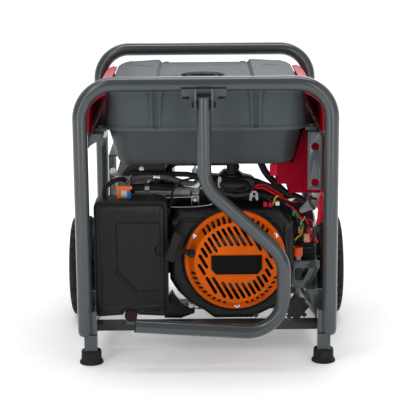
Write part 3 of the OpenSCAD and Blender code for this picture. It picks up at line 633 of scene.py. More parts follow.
def moulded(name, outline, rings, place, mat, body="frame", height=None, features=(), holes=(), step=5.0,
        wall=2.0, extra=(), **kw):
    """A pressed or moulded cover: walls up through rings of (inset, w), then a front face with a height
    function, raised features of (loop, slope width, rise) and holes, thickened inwards."""
    def rise(u, v):
        w = height(u, v) if height else 0.0
        for loop, width, dz in features:
            if inside((u, v), loop):
                t = min(1.0, edge_distance((u, v), loop) / width)
                w += dz * t * t * (3 - 2 * t)
        return w
    bm = bmesh.new()
    levels = []
    for d, w in rings:
        lp = inset(outline, d) if d else outline
        levels.append([bm.verts.new(place(u, v, w)) for u, v in lp])
    skin(bm, levels, False)
    face_loop = inset(outline, rings[-1][0]) if rings[-1][0] else outline
    keep = list(extra)
    for loop, width, _ in features:
        keep += [loop, inset(loop, width), inset(loop, width / 2)]
    pts, tris = fill(face_loop, holes, keep, step)
    top = [bm.verts.new(place(q.x, q.y, rings[-1][1] + rise(q.x, q.y))) for q in pts]
    for f in tris:
        bm.faces.new([top[i] for i in f])
    bmesh.ops.remove_doubles(bm, verts=bm.verts, dist=2e-5)
    obj = new_object(name, bm)
    face_out(obj, place(*outline[0], 1) - place(*outline[0], 0))
    if wall:
        s = obj.modifiers.new("wall", "SOLIDIFY")
        s.thickness = wall * MM
        s.offset = -1
        s.use_even_offset = False
    return finish_mesh(obj, mat, body, 0.0, **kw)


def round_off(poly, r, n=4):
    """A polygon with each corner rounded; r is one radius or one for each corner."""
    out, m = [], len(poly)
    for i in range(m):
        a, b, c = Vector(poly[i - 1]), Vector(poly[i]), Vector(poly[(i + 1) % m])
        e, f = (a - b).normalized(), (c - b).normalized()
        rad = r[i] if isinstance(r, (list, tuple)) else r
        half = math.acos(max(-1, min(1, e.dot(f)))) / 2
        if rad < 0.01 or half > math.radians(88):
            out.append(tuple(b))
            continue
        reach = min(rad / math.tan(half), (a - b).length * 0.45, (c - b).length * 0.45)
        p, q = b + e * reach, b + f * reach
        for k in range(n + 1):
            t = k / n
            out.append(tuple(p * (1 - t) ** 2 + b * 2 * t * (1 - t) + q * t * t))
    return out


# ---------------------------------------------------------------- recoil starter

fly_lo, fly_hi = span("flywheel")
CRANK = (round((fly_lo.x + fly_hi.x) / 2, 2), round((fly_lo.z + fly_hi.z) / 2, 2))
# the housing's front, and how far the starter cover's flat middle stands in front of it
SHROUD_FRONT, COVER_TOP = 78, 38
FLAT_R, CONE_R, RIM_R = 91.5, 105, 113
SLOT_LEAN, SLOT_PITCH, SLOT_W = 30, 14.2, 7.0
LABEL = [(-54, 17.5), (-54, -14), (-44, -26), (48, -26), (58, -14), (58, 17.5)]
KEEP_CLEAR = [(-64, 22), (-64, -24), (-76, -25), (-76, -34), (-37, -34), (-27, -48), (34, -48), (50, -31),
    (68, -27), (68, 30), (45, 30), (35, 41), (-33, 41), (-43, 27)]


def slanted_slots():
    """Parallel leaning slots, cut short by the flat's edge and by the clear zone round the label."""
    lean = math.radians(SLOT_LEAN)
    d = Vector((math.sin(lean), -math.cos(lean)))
    loops = []
    for k in range(-9, 10):
        base = Vector((SLOT_PITCH * (k + 0.12), 0))
        run = []
        for i in range(-440, 441):
            q = base + d * (i / 4)
            ok = q.length < FLAT_R - 10.5 and not inside((q.x, q.y), KEEP_CLEAR)
            if ok:
                run.append(q)
            if (not ok or i == 440) and run:
                a, b = run[0], run[-1]
                if (b - a).length > 0.7:
                    loops.append(slot_loop(a.x, a.y, b.x, b.y, SLOT_W))
                run = []
    return loops


def cover_height(u, v):
    """The starter cover's rise: a cone to a flat middle with a low lip."""
    r = math.hypot(u, v)
    if r > CONE_R:
        return 0.0
    t = min(1.0, (CONE_R - r) / (CONE_R - FLAT_R))
    cone = 25 * t
    soft = 25 - 25 * (1 - t) if t < 0.88 else 25 * (0.88 + 0.12 * math.sin((t - 0.88) / 0.12 * math.pi / 2))
    lip = 1.0 if FLAT_R - 6 < r < FLAT_R - 1.5 else 0.0
    return min(cone, soft) + lip * 0.7


ring_slots = []
for k in range(48):
    a = 7.5 * k
    if a < 44 or 138 < a < 190 or 262 < a < 282 or a > 341:
        continue
    c, s = math.cos(math.radians(a)), math.sin(math.radians(a))
    ring_slots.append(slot_loop(94 * c, 94 * s, 101.5 * c, 101.5 * s, 6.6))
band_top = [(-30, 36), (-40, 22), (42, 22), (31, 36)]
band_low = [(-35, -31), (-26, -43), (31, -43), (44, -31)]
recess = [(-57, 20), (-57, -15), (-46, -29), (50, -29), (61, -15), (61, 20)]
moulded("recoil_starter_cover", circle(RIM_R, 144), [(0, 0.3), (0, 11), (1.2, 12.4)],
    facing_front(SHROUD_FRONT, *CRANK), ORANGE, height=cover_height,
    features=[(band_top[::-1], 1.2, 1.0), (band_low, 1.2, 1.0), (recess, 1.0, -0.8)], holes=slanted_slots()
    + ring_slots, step=4.5, wall=2.2, extra=[circle(r, 144) for r in (FLAT_R - 1, FLAT_R, CONE_R)],
    replaces=["recoil_cover"], angle=28)

# ---------------------------------------------------------------- label, screws, starter grip and rope

moulded("recoil_label", LABEL, [(0, 0), (0, 1.0), (0.6, 1.4)],
    facing_front(SHROUD_FRONT - COVER_TOP + 0.9, *CRANK), PLATE, wall=0, step=9)
bm = bmesh.new()
for a in (32, 149, 272):
    pan_screw(bm,
        (CRANK[0] + 105 * math.cos(math.radians(a)), 66.2, CRANK[1] + 105 * math.sin(math.radians(a))),
        FORWARD, 6.5)
piece("recoil_screws", bm, CHROME)

GUIDE, GRIP = Vector((-33, 45, 237)), Vector((-72, 8, 262))
WAY = (GRIP - GUIDE).normalized()
turned("rope_guide", [(3.6, -8), (7.5, -8), (9, 0), (9, 6), (8, 9), (6, 10.5), (4, 9.5), (3.6, 6)], GUIDE,
    WAY, BLACK, steps=32, closed=True)

# grip: a waisted bar with a neck towards the guide
bar = Vector((20, 0, 57)).normalized()
side = Vector(BACK).cross(bar).normalized()
rings = []
for t, w, d in ((-33, 5, 4.5), (-32.4, 8.4, 7), (-30, 10.4, 8.6), (-25, 11, 9), (-12, 10.4, 8.4),
        (0, 10, 8.2), (12, 10.4, 8.4), (25, 11, 9), (30, 10.4, 8.6), (32.4, 8.4, 7), (33, 5, 4.5)):
    ring = []
    for k in range(24):
        a = 2 * math.pi * k / 24
        c, s = math.cos(a), math.sin(a)
        m = (abs(c) ** 3 + abs(s) ** 3) ** (-1 / 3)
        ring.append(GRIP + bar * t + side * (w * m * c) + Vector(BACK) * (d * m * s))
    rings.append(ring)
loft("starter_grip_bar", rings, BLACK, "starter_grip", replaces=["recoil_grip"], angle=50)
turned("starter_grip_neck", [(0, -40), (4.8, -40), (5.8, -38.6), (6.2, -14), (7.5, -6), (8.4, 2), (0, 2)],
    GRIP, WAY, RUBBER, body="starter_grip", steps=24)

ROPE_A, ROPE_B = GUIDE + WAY * 4, GRIP - WAY * 36
rope = hose("starter_cord", [tuple(ROPE_A + (ROPE_B - ROPE_A) * (k / 12)) for k in range(13)], 2.5, ROPE,
    body=None, sides=10, per=3)
tuple(at(*ROPE_A))
tuple(at(*ROPE_B))
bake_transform(rope)
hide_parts("starter_rope")

# ---------------------------------------------------------------- blower housing

shell = round_off([(16, 75), (102, 75), (159, 103), (193, 150), (193, 300), (165, 331), (-60, 331),
        (-84, 305), (-83, 167), (-66, 139), (-38, 111), (-7, 93)], 14)

moulded("blower_shroud", shell, [(0, 0), (0, 64), (0.8, 68), (3, 72.5), (6.5, 75.6), (11, 77)],
    facing_front(155), BLACK_PAINT,
    features=[(circle(121, 120, *CRANK), 3.5, 3.4), (circle(116.5, 120, *CRANK), 1.5, -3.4),
        (round_off([(150, 310), (-50, 310), (-72, 290), (-72, 262), (-56, 300), (152, 300)], 3), 3, 2.0),
        (round_off([(172, 292), (172, 158), (160, 130), (166, 128), (180, 155), (180, 292)], 3), 2.5, 2.5)],
    holes=[circle(97, 120, *CRANK)], step=8, wall=2.5, replaces=["blower_housing"], angle=25)
bolts("shroud_bolts", BLACK_PAINT,
    [((x, 78.2, z), 4.6, 4) for x, z in ((-70, 300), (182, 292), (182, 160), (110, 84))])
turned("fan_backing", [(30, 0), (118, 0), (118, 2), (30, 2)], (CRANK[0], 150, CRANK[1]), BACK, BLACK_PAINT,
    closed=True, steps=72, bevel=0.4)
boxes("governor_post",
    [((-34, 118, 331), (-31.5, 130, 352)), ((-18.5, 118, 331), (-16, 130, 352)),
        ((-34, 118, 349), (-16, 130, 352))], ZINC)

boxes("side_duct", [((-106, 99, 176), (-80, 150, 332))], BLACK_PAINT, bevel=5)
flat("mount_mass",
    round_off([(-98, 68), (-91, 112), (-80, 130), (-71, 114), (-54, 95), (-25, 80), (-60, 67)], 3), [], 30,
    facing_front(125), BLACK_PAINT, edge=2)
bolts("mount_bolts", ZINC, [((-36, 108, 99), 5, 5), ((-24, 108, 96), 4, 4)])

# ---------------------------------------------------------------- air cleaner cover and what is on it

lo, hi = span("air_cleaner_cover")
X0, Z0, X1, Z1 = lo.x, lo.z - 3, hi.x - 1, hi.z - 3.5
DEPTH = hi.y - lo.y
STOP = (-170, 96)
notch = arc(STOP[0], STOP[1], 17, 166, 14, 12)
corner = 15
edge = (notch + arc(X1 - 9, Z0 + 9, 9, -90, 0, 5) + arc(X1 - corner, Z1 - corner, corner, 0, 90, 6)
    + arc(X0 + corner, Z1 - corner, corner, 90, 180, 6) + arc(X0 + 9, Z0 + 9, 9, 180, 270, 5))
panel = round_off([(-199, 315), (-199, 208), (-155, 158), (-97, 158), (-97, 315)], 7)
moulded("air_box_cover", edge,
    [(0, 0), (0, DEPTH - 14), (0.6, DEPTH - 12.6), (2.2, DEPTH - 12), (6, DEPTH - 11.6), (7, DEPTH - 10.6),
        (7.6, DEPTH - 7), (9, DEPTH - 3), (12, DEPTH - 1), (16, DEPTH - 0.4)], facing_front(hi.y), BLACK,
    features=[(panel, 4, 3.4), (round_off([(-205, 211), (-205, 200), (-158, 146), (-150, 153)], 3), 3, 2.4),
        (arc(-99, 252, 16, 0, 350, 23), 4, -4.5),
        (round_off([(-232, 120), (-100, 120), (-100, 128), (-232, 128)], 3), 2.5, 2.0)], step=6, wall=2.5,
    replaces=["air_cleaner_cover"], angle=30)
turned("stop_pad", [(0, 0), (12, 0), (13.6, 1.2), (14, 3), (14, 20), (0, 20)], (STOP[0], 58.5, STOP[1]),
    FORWARD, STOP_RUBBER, steps=40)

# tag with a grey and a blue patch hanging over the cover's top edge
boxes("tag_orange", [((-197, 60, 359.6), (-168, 62, 387)), ((-172, 59, 380), (-163, 63, 387))], TAG,
    bevel=0.6)
boxes("tag_grey", [((-188, 58.5, 359.6), (-174, 60.5, 378))], SILVER, bevel=0.5)
boxes("tag_blue", [((-174, 58.5, 359.6), (-166, 60.8, 377))], BLUE, bevel=0.5)
hose("breather_loop",
    [(-221, 66, 354), (-225, 64, 368), (-222, 64, 382), (-211, 66, 393), (-197, 72, 399), (-186, 84, 398),
        (-176, 98, 390)], 5.2, RUBBER)
hose("intake_duct",
    [(-197, 118, 362), (-160, 118, 368), (-120, 118, 369), (-80, 118, 366), (-40, 122, 352)], 11.5, BLACK,
    sides=20)
turned("duct_clamp", [(11.8, -5), (13.4, -5), (13.4, 5), (11.8, 5)], (-132, 118, 368.4), (1, 0, 0.03), ZINC,
    steps=40, closed=True)
hose("grey_sleeve_1",
    [(-176, 112, 378), (-166, 112, 388), (-150, 112, 396), (-128, 112, 398), (-108, 112, 397)], 6.2, LOOM)
hose("grey_sleeve_2",
    [(-108, 112, 397), (-84, 112, 395), (-62, 112, 387), (-42, 114, 381), (-24, 118, 378)], 6.6, LOOM)
turned("sleeve_clamp", [(6.6, -7), (9, -7), (9.4, -4), (8, -3), (8, 3), (9.4, 4), (9, 7), (6.6, 7)],
    (-110, 112, 397), (1, 0, -0.05), CHROME, steps=24, closed=True)
hose("grey_sleeve_3", [(-82, 124, 360), (-66, 122, 361), (-48, 122, 358), (-36, 124, 352)], 7, LOOM)
hose("throttle_rod", [(-150, 90, 351), (-118, 90, 352.4), (-87, 90, 353.6), (-50, 90, 355), (-16, 90, 356)],
    1.3, ZINC)
hose("choke_rod", [(-78, 90, 332.6), (-41, 90, 332.2), (-3, 90, 335), (16, 90, 340), (40, 92, 352)], 1.3,
    ZINC)
hose("vent_cable",
    [(-24, 88, 398), (-38, 85, 397), (-55, 85, 392), (-68, 85, 380), (-76, 85, 362), (-78, 86, 345),
        (-86, 92, 322)], 2.6, RUBBER)

# ---------------------------------------------------------------- dark parts over and behind the engine

stay = [(-197, 391), (-171, 424), (-92, 424), (-92, 406), (-113, 403), (-163, 402), (-186, 391)]
flat("tank_stay_front", round_off(stay, 2), [arc(-144.5, 412, 4.2, 0, 350, 17)], 3, facing_front(128),
    SILVER_DARK)
flat("tank_stay_side", [(128, 400), (128, 424), (210, 424), (210, 400)], [], 3, facing_right(-92),
    SILVER_DARK)
bolts("stay_bolt", ZINC, [((-144.5, 126, 412), 4.2, 4)])

# shroud over the cylinder and the crankcase top: the dark mass under the tank
top_line = [(-140, 352), (-128, 372), (-60, 376), (-28, 371), (-12, 384), (6, 391), (28, 389), (40, 400),
    (72, 400), (84, 390), (104, 385), (118, 372), (150, 356), (178, 344), (186, 330), (186, 300),
    (-140, 300)]
moulded("engine_top_shroud", round_off(top_line[::-1], 5), [(0, 0), (0, 26), (1, 28), (3, 29.5), (5, 30)],
    facing_front(186), BLACK_PAINT,
    features=[(round_off([(20, 318), (150, 318), (150, 345), (100, 372), (30, 374)], 6), 4, -3),
        (round_off([(-120, 312), (0, 312), (0, 360), (-120, 358)], 6), 3, 2.5)], step=9, wall=2.5, angle=25)
turned("tank_stem", [(0, 0), (17, 0), (17, 3), (12, 5), (10.5, 8), (10.5, 40), (12, 42), (12, 46), (0, 46)],
    (57, 140, 392), UP, BLACK, steps=28)
dome = [(24, 0), (40, 0), (41.5, 3), (40, 9), (34, 14), (20, 17), (11, 18), (0, 18)]
turned("air_valve_dome", [(0, -4)] + dome, (62, 140, 374), (0, -0.06, 1), BLACK, steps=48)
flat("dome_bracket", round_off([(16, 352), (108, 352), (108, 384), (96, 390), (26, 390), (16, 376)], 3),
    [round_off([(46, 366), (88, 366), (84, 384), (52, 386)], 2)], 2.5, facing_front(120), BLACK_PAINT)
# grey patches and strap on the dome bracket where it catches light: painted highlight
flat("dome_highlight_patches", round_off([(37, 386), (51, 388), (51, 370), (39, 370.5)], 1.5), [], 1.6,
    facing_front(117.5), GREY_HIGHLIGHT)
flat("dome_strap", round_off([(63, 388), (89, 377), (83, 370), (63, 370)], 1.5), [], 1.6,
    facing_front(117.5), GREY_HIGHLIGHT)
flat("dome_tab", round_off([(27, 371), (34, 371), (34, 395), (27, 395)], 2), [], 1.6, facing_front(116),
    SILVER)

# carburettor side: bright castings and levers by the handle
boxes("carb_bridge",
    [((-38, 128, 356), (-14, 142, 372)), ((-30, 126, 368), (-18, 140, 382)),
        ((-44, 130, 374), (-30, 138, 380))], ALLOY, bevel=1.6)
turned("carb_filter", [(0, 0), (5, 0), (6.5, 2), (6.5, 9), (4.5, 12), (3, 15), (3, 19), (0, 19)],
    (-26, 147, 396), (0.1, 0, 1), WHITE, steps=24)
flat("carb_lever", round_off([(-52, 376), (-20, 370), (-8, 384), (-14, 388), (-26, 378), (-50, 382)], 2),
    [], 2, facing_front(112), ZINC)
turned("carb_spring", [(2.6, -9), (3.6, -9), (3.6, 9), (2.6, 9)], (-4, 118, 372), (1, 0, 0.4), CHROME,
    steps=16, closed=True)

# clip, connectors, relay and wires on the right
flat("wire_clip",
    round_off([(96, 343), (101, 343), (103, 352), (109, 352), (112, 343), (116, 345), (115, 360),
            (110, 366), (102, 366), (97, 360)], 2), [arc(106.5, 358.5, 3.4, 0, 350, 15)], 2.2,
    facing_front(99), SILVER)
boxes("red_connectors",
    [((127, 90, 328), (136, 102, 342)), ((138, 90, 326), (148, 102, 340)), ((129, 88, 324), (134, 96, 329)),
        ((140, 88, 322), (146, 96, 327))], CONNECTOR_RED, bevel=1.5)
boxes("white_connector", [((154, 88, 334), (163, 98, 343))], WHITE, bevel=1.0)
flat("relay", round_off([(208.6, 315), (230.4, 342), (251, 339), (249.6, 321), (213, 307.5)], 3), [], 24,
    facing_front(133), RELAY, edge=1.6)
flat("relay_lid", round_off([(214, 315), (232, 337), (246, 335), (245, 323), (216, 312)], 2), [], 2,
    facing_front(120.6), RELAY)
flat("relay_tip", round_off([(178, 342), (201, 344), (192, 336)], 1), [], 3, facing_front(121), ZINC)
boxes("tan_connectors",
    [((218, 88, 249), (231, 100, 268)), ((207, 118.5, 262), (217, 128.5, 279)),
        ((220, 86, 252), (229, 89, 265))], TAN, bevel=1.2)
boxes("red_plug", [((225, 92, 266), (235, 102, 281))], CONNECTOR_RED, bevel=1.2)
boxes("green_tie", [((193, 119, 302), (203, 127, 316)), ((199, 118.5, 298), (207, 126, 307))], WIRE_GREEN,
    bevel=2.0)

LEADS = [
    ("lead_red_1", WIRE_RED, 2.6,
        [(104, 118, 366), (118, 108, 371), (130, 106, 370), (148, 104, 360), (166, 104, 350),
            (190, 126, 336), (216, 126, 335)]),
    ("lead_red_2", WIRE_RED, 2.0,
        [(104, 118, 369), (116, 112, 376), (132, 112, 376), (150, 110, 366), (172, 108, 352)]),
    ("lead_red_3", WIRE_RED, 1.8,
        [(180, 100, 334), (196, 119, 321), (212, 119, 301), (226, 119, 291), (231, 119, 275)]),
    ("lead_red_4", WIRE_RED, 1.8,
        [(205, 120, 301), (216, 119, 296), (230, 119, 295), (240, 119, 285), (240, 122, 257),
            (234, 126, 241)]),
    ("lead_black_1", WIRE_BLACK, 3.0,
        [(96, 112, 372), (112, 104, 362), (134, 100, 350), (160, 98, 330), (180, 98, 312), (196, 120, 285),
            (200, 122, 263)]),
    ("lead_black_2", WIRE_BLACK, 2.4,
        [(150, 112, 352), (172, 106, 338), (194, 122, 317), (207, 120, 293), (214, 120, 271)]),
    ("lead_black_3", WIRE_BLACK, 2.2,
        [(212, 126, 295), (222, 119, 283), (238, 119, 279), (244, 119, 263), (242, 122, 245)]),
    ("lead_black_4", WIRE_BLACK, 2.2, [(186, 128, 325), (200, 120, 305), (204, 119, 291), (212, 119, 279)]),
    ("lead_yellow_1", WIRE_YELLOW, 1.6, [(148, 96, 334), (151, 92, 344), (154, 90, 352), (160, 92, 356)]),
    ("lead_yellow_2", WIRE_YELLOW, 1.8,
        [(200, 119, 247), (206, 119, 254), (214, 119, 261), (217, 119, 275)]),
    ("lead_yellow_3", WIRE_YELLOW, 1.5, [(147, 96, 326), (150, 91, 322), (154, 92, 326)]),
    ("lead_white_1", WIRE_WHITE, 1.5, [(212, 120, 279), (214, 119, 289), (219, 119, 295), (222, 120, 301)]),
    ("lead_white_2", WIRE_WHITE, 1.5, [(231, 122, 263), (240, 119, 275), (244, 119, 295), (240, 122, 313)]),
    ("lead_blue_1", BLUE_WIRE, 1.6, [(178, 100, 338), (190, 119, 323), (199, 119, 311)]),
    ("lead_green_1", WIRE_GREEN, 1.6, [(203, 120, 305), (212, 119, 295), (218, 119, 281), (214, 120, 265)]),
    ("lead_grey_1", LOOM, 3.4, [(238, 126, 347), (232, 122, 339), (236, 120, 329), (244, 122, 317)])]
for name, mat, r, pts in LEADS:
    hose(name, pts, r, mat, sides=10, slot="black_plastic")
hose("main_loom",
    [(118, 175, 430), (126, 165, 413), (137, 160, 393), (160, 150, 369), (184, 134, 350), (212, 130, 338),
        (238, 130, 324)], 8, BLACK_LOOM, sides=16)
hose("cross_loom", [(40, 118, 356), (70, 114, 352), (100, 110, 356), (130, 110, 352), (160, 112, 342)], 6,
    BLACK_LOOM, sides=14)
flat("harness_board",
    round_off([(86, 392), (117, 385), (158, 368), (187, 355), (206, 345), (231, 329), (248, 290),
            (245, 224), (207, 224), (187, 290), (165, 316), (85, 337)], 5), [], 6, facing_front(140), BLACK,
    edge=1.5)

# ---------------------------------------------------------------- fuel tank

SEAM_Z = 515
RIDGE_X = 109
FRONT_Y, REAR_Y = 45, 575
UPPER_HALF, UPPER_FLAT, TANK_CUT = 221, 188, 34
cap_lo, cap_hi = span("fuel_cap")
CAP = ((cap_lo.x + cap_hi.x) / 2, (cap_lo.y + cap_hi.y) / 2)


def tank_outline(half, chamfer, y0, y1, cut, groove):
    """The tank from above, anticlockwise: cut corners, with a groove beside each ridge at both ends."""
    front, back = [], []
    for x in (-RIDGE_X, RIDGE_X) if groove else ():
        front += [(x - 5.5, y0), (x - 2.2, y0 + 4), (x + 2.2, y0 + 4), (x + 5.5, y0)]
        back += [(-x + 5.5, y1), (-x + 2.2, y1 - 4), (-x - 2.2, y1 - 4), (-x - 5.5, y1)]
    right = [(chamfer, y0), (half, y0 + cut), (half, y1 - cut), (chamfer, y1)]
    left = [(-x, y0 + y1 - y) for x, y in right]
    loop = left[3:] + front + right + back + left[:3]
    return round_off(loop, [60 if q in left or q in right else 1.2 for q in loop], 7)


LOWER_OUTLINE = tank_outline(213, 178, FRONT_Y, REAR_Y, TANK_CUT, False)


def tank_top(u, v):
    """Ridges along both sides, rounded towards every edge, and a raised lip round the cap's well."""
    def ease(t):
        t = max(0.0, min(1.0, t))
        return t * t * (3 - 2 * t)
    x = abs(u)
    ridge = ease((x - 106) / 7) * ease((v - FRONT_Y - 13) / 9) * ease((REAR_Y - 13 - v) / 7)
    rise = 8.5 * ridge * ease(1.08 - (x - 160) / 52)
    for y in (FRONT_Y + 40, FRONT_Y + 150, REAR_Y - 150, REAR_Y - 40):
        d = max(abs(x - 155) - 26, abs(v - y) - 24)
        rise -= 2.5 * ease(-d / 3) * ridge
    r = math.hypot(u - CAP[0], v - CAP[1])
    rise += 2.0 * ease((r - 51) / 2) * ease((64 - r) / 4)
    for y in (FRONT_Y + 120, REAR_Y - 120):
        d = max(abs(u) - 78, abs(v - y) - 62)
        rise -= 2.0 * ease(-d / 4)
    return rise


moulded("tank_upper", tank_outline(UPPER_HALF + 5, UPPER_FLAT + 4, FRONT_Y - 5, REAR_Y + 5, TANK_CUT, True),
    [(0, 516.5), (0.4, 518.5), (5.4, 522.5), (9.6, 584), (10.8, 590), (13.4, 595), (18, 597.5)], at, TANK,
    height=tank_top, holes=[circle(52, 48, *CAP)], step=9, replaces=["tank_upper_shell"], angle=30,
    extra=[[(x * s, y) for x, y in ring] for s in (1, -1)
        for ring in ([(113, 68), (199, 68), (199, 554), (113, 554)],
            [(106, 60), (206, 60), (206, 561), (106, 561)])] + [circle(r, 48, *CAP) for r in (54, 60, 64)])
turned("cap_well",
    [(52.4, 599.3), (50.5, 597), (50.5, 578.5), (26, 578), (26, 560), (24, 560), (24, 576), (52.5, 576.2)],
    (CAP[0], CAP[1], 0), UP, TANK, closed=True, angle=30)

# the lower shell is drawn in the darker copy of the tank paint: painted shade, as it faces down
moulded("tank_lower", LOWER_OUTLINE,
    [(0, 513), (2.2, 509), (10.4, 480), (18, 450), (20.5, 443), (24.5, 437), (29.5, 434.8), (35, 433),
        (41, 432.5)], at, TANK_PAINTED_SHADE,
    features=[(round_off([(-120, 110), (120, 110), (120, 200), (-120, 200)], 12), 6, 3)], step=16,
    replaces=["tank_lower_shell"], angle=30)

# rolled seam with an ear and a bolt at each corner
seam = tank_outline(UPPER_HALF + 4, UPPER_FLAT + 3, FRONT_Y - 5, REAR_Y + 5, TANK_CUT, False)
hole = inset(LOWER_OUTLINE, 3)
flat("tank_seam", seam, [hole], 6, facing_up(SEAM_Z), TANK, edge=1.6)
for s in (-1, 1):
    for k, y in enumerate((56, 564)):
        tag = ("left", "right")[s > 0] + ("_front", "_rear")[k]
        flat("tank_ear_" + tag, rounded(s * 229 - 13, y - 14, s * 229 + 13, y + 14, 4),
            [arc(s * 234, y, 4.4, 0, 350, 17)], 6, facing_up(SEAM_Z), TANK, edge=0.8)
        bolts("tank_ear_bolt_" + tag, BLACK_PAINT, [((s * 229, y - 4, SEAM_Z + 3), 7.5, 7)], UP)

# fuel cap: a ridged skirt, a domed top and a finger bar
bm = bmesh.new()
skirt = []
CAP_STEPS = 128
for r, z, wavy in ((37.5, 577.3, 0), (38.6, 578, 0.6), (38.8, 580, 1.2), (38.6, 592, 1.2),
        (37.8, 596.5, 0.7), (35, 598.6, 0), (28, 599.3, 0), (26, 598.4, 0), (8, 598.6, 0)):
    row = []
    for k in range(CAP_STEPS):
        a = 2 * math.pi * k / CAP_STEPS
        rr = r + wavy * (1 if k % 4 < 2 else -0.6)
        row.append(bm.verts.new(at(CAP[0] + rr * math.cos(a), CAP[1] + rr * math.sin(a), z)))
    skirt.append(row)
skin(bm, skirt, True)
piece("fuel_cap_body", bm, BLACK, "cap", replaces=["fuel_cap"], angle=30)
rings = []
for t, w, z in ((-33, 2, 599), (-31, 5, 601.5), (-24, 6.5, 602.8), (0, 7, 603), (24, 6.5, 602.8),
        (31, 5, 601.5), (33, 2, 599)):
    rings.append([(CAP[0] + t, CAP[1] - w, 597.5), (CAP[0] + t, CAP[1] - w, z - 1.5),
            (CAP[0] + t, CAP[1] - w * 0.6, z), (CAP[0] + t, CAP[1] + w * 0.6, z),
            (CAP[0] + t, CAP[1] + w, z - 1.5), (CAP[0] + t, CAP[1] + w, 597.5)])
loft("fuel_cap_bar", rings, BLACK, "cap", angle=40)

# ---------------------------------------------------------------- red side covers, panel box and panel

PROFILE = [(256, 513), (255.6, 530), (255, 557), (252, 569), (247, 578), (241, 584), (230, 593), (216, 600)]
LOWERED = PROFILE[:-2] + [(233, 588), (228, 589.5)]
TRIMMED = [(256, 513), (257, 530), (257, 546), (251, 558), (244, 569), (239, 572.5), (233.5, 575),
    (226, 577)]


def cover_ring(side, y, points, skin, gap=0):
    """One closed ring of a bent cover: its outer line and the same line moved inwards."""
    outer, inner = [], []
    for i, (x, z) in enumerate(points):
        a, b = Vector(points[max(i - 1, 0)]), Vector(points[min(i + 1, len(points) - 1)])
        n = Vector((b.y - a.y, a.x - b.x)).normalized()
        outer.append((side * (x - n.x * gap), y, z - n.y * gap))
        inner.append((side * (x - n.x * (gap + skin)), y, z - n.y * (gap + skin)))
    return outer + inner[::-1]


for s, tag in SIDES:
    loft("side_cover_" + tag, [cover_ring(s, y, PROFILE, 2.2) for y in (15.5, 17, 330, 455)]
        + [cover_ring(s, 560, LOWERED, 2.2), cover_ring(s, 655, TRIMMED, 2.2)], RED, "frame",
        replaces=["side_panels"], bevel=0.6)
    # a darker red skin inside each cover: painted shade on the cover's inner face
    loft("side_painted_shade_" + tag, [cover_ring(s, y, PROFILE, 1.4, 2.2) for y in (17.5, 330, 455)]
        + [cover_ring(s, 560, LOWERED, 1.4, 2.2), cover_ring(s, 653, TRIMMED, 1.4, 2.2)], RED_PAINTED_SHADE, "frame")
    loft("side_lip_" + tag, [cover_ring(s, y, PROFILE, 4.6) for y in (15.5, 17.5)], RED, "frame", bevel=0.5)

BOX_BACK = span("panel_box")[1].y
# the box's walls are drawn in the darker red copy: painted shade
moulded("panel_box_shell",
    round_off([(158, 378), (184, 378), (184, 357), (254.8, 357), (254.8, 503), (216, 503), (194, 430),
            (158, 430)], 2.5), [(0, 2), (0, 356), (0.6, 358.8), (2, 360)], facing_front(BOX_BACK), RED_PAINTED_SHADE,
    step=14, wall=2, replaces=["panel_box"], angle=30)
boxes("panel_box_back",
    [((162, BOX_BACK - 3, 380), (254, BOX_BACK - 0.5, 428)),
        ((202, BOX_BACK - 3, 428), (254, BOX_BACK - 0.5, 500)),
        ((187, BOX_BACK - 3, 359), (254, BOX_BACK - 0.5, 381))], RED, bevel=0.4)
flat("panel_box_tab", rounded(142, 397, 159, 425, 5), [], 3, facing_front(112), RED, edge=0.8)
# the arm is drawn in the darker red copy: painted shade
boxes("panel_box_arm", [((151, 111, 402), (160, 125, 420))], RED_PAINTED_SHADE)

# the panel: its face, the heights of its rows and the places of its outlets from the front
PX = span("panel_face")[1].x
BREAKER_Z, HINGE_Z, TWIST_Z, OUTLET_Z = 478, 446, 405, 402
OUTLET_Y = (180, 262)
TWIST_Y = (345, 420)
cuts = [arc(y, BREAKER_Z, 5.4, 0, 345, 23) for y in OUTLET_Y] + [rounded(59, 438, 81, 472, 1.5, 3)]
vents = [slot_loop(36, z, 92, z, 5) for z in (330, 342, 354, 366, 378)]
vents += [slot_loop(364, z, 412, z, 4) for z in (322, 332, 342)]
flat("panel_plate", rounded(20, 305, 470, 503, 6), cuts + vents, 3, facing_right(PX - 1.5), RED, edge=0.7,
    replaces=["panel_face"])
flat("panel_front_flange",
    round_off([(252.8, 382.5), (253.5, 318.8), (244.5, 304.2), (241, 313), (243.9, 362.8)], 2), [], 3,
    facing_front(21.5), RED, edge=0.6)
# pressed border round the panel
hose("panel_border", [(PX + 0.4, y, z) for y, z in rounded(30, 314, 460, 494, 8)] + [(PX + 0.4, 460, 322)],
    1.6, RED, sides=8, smooth=False)

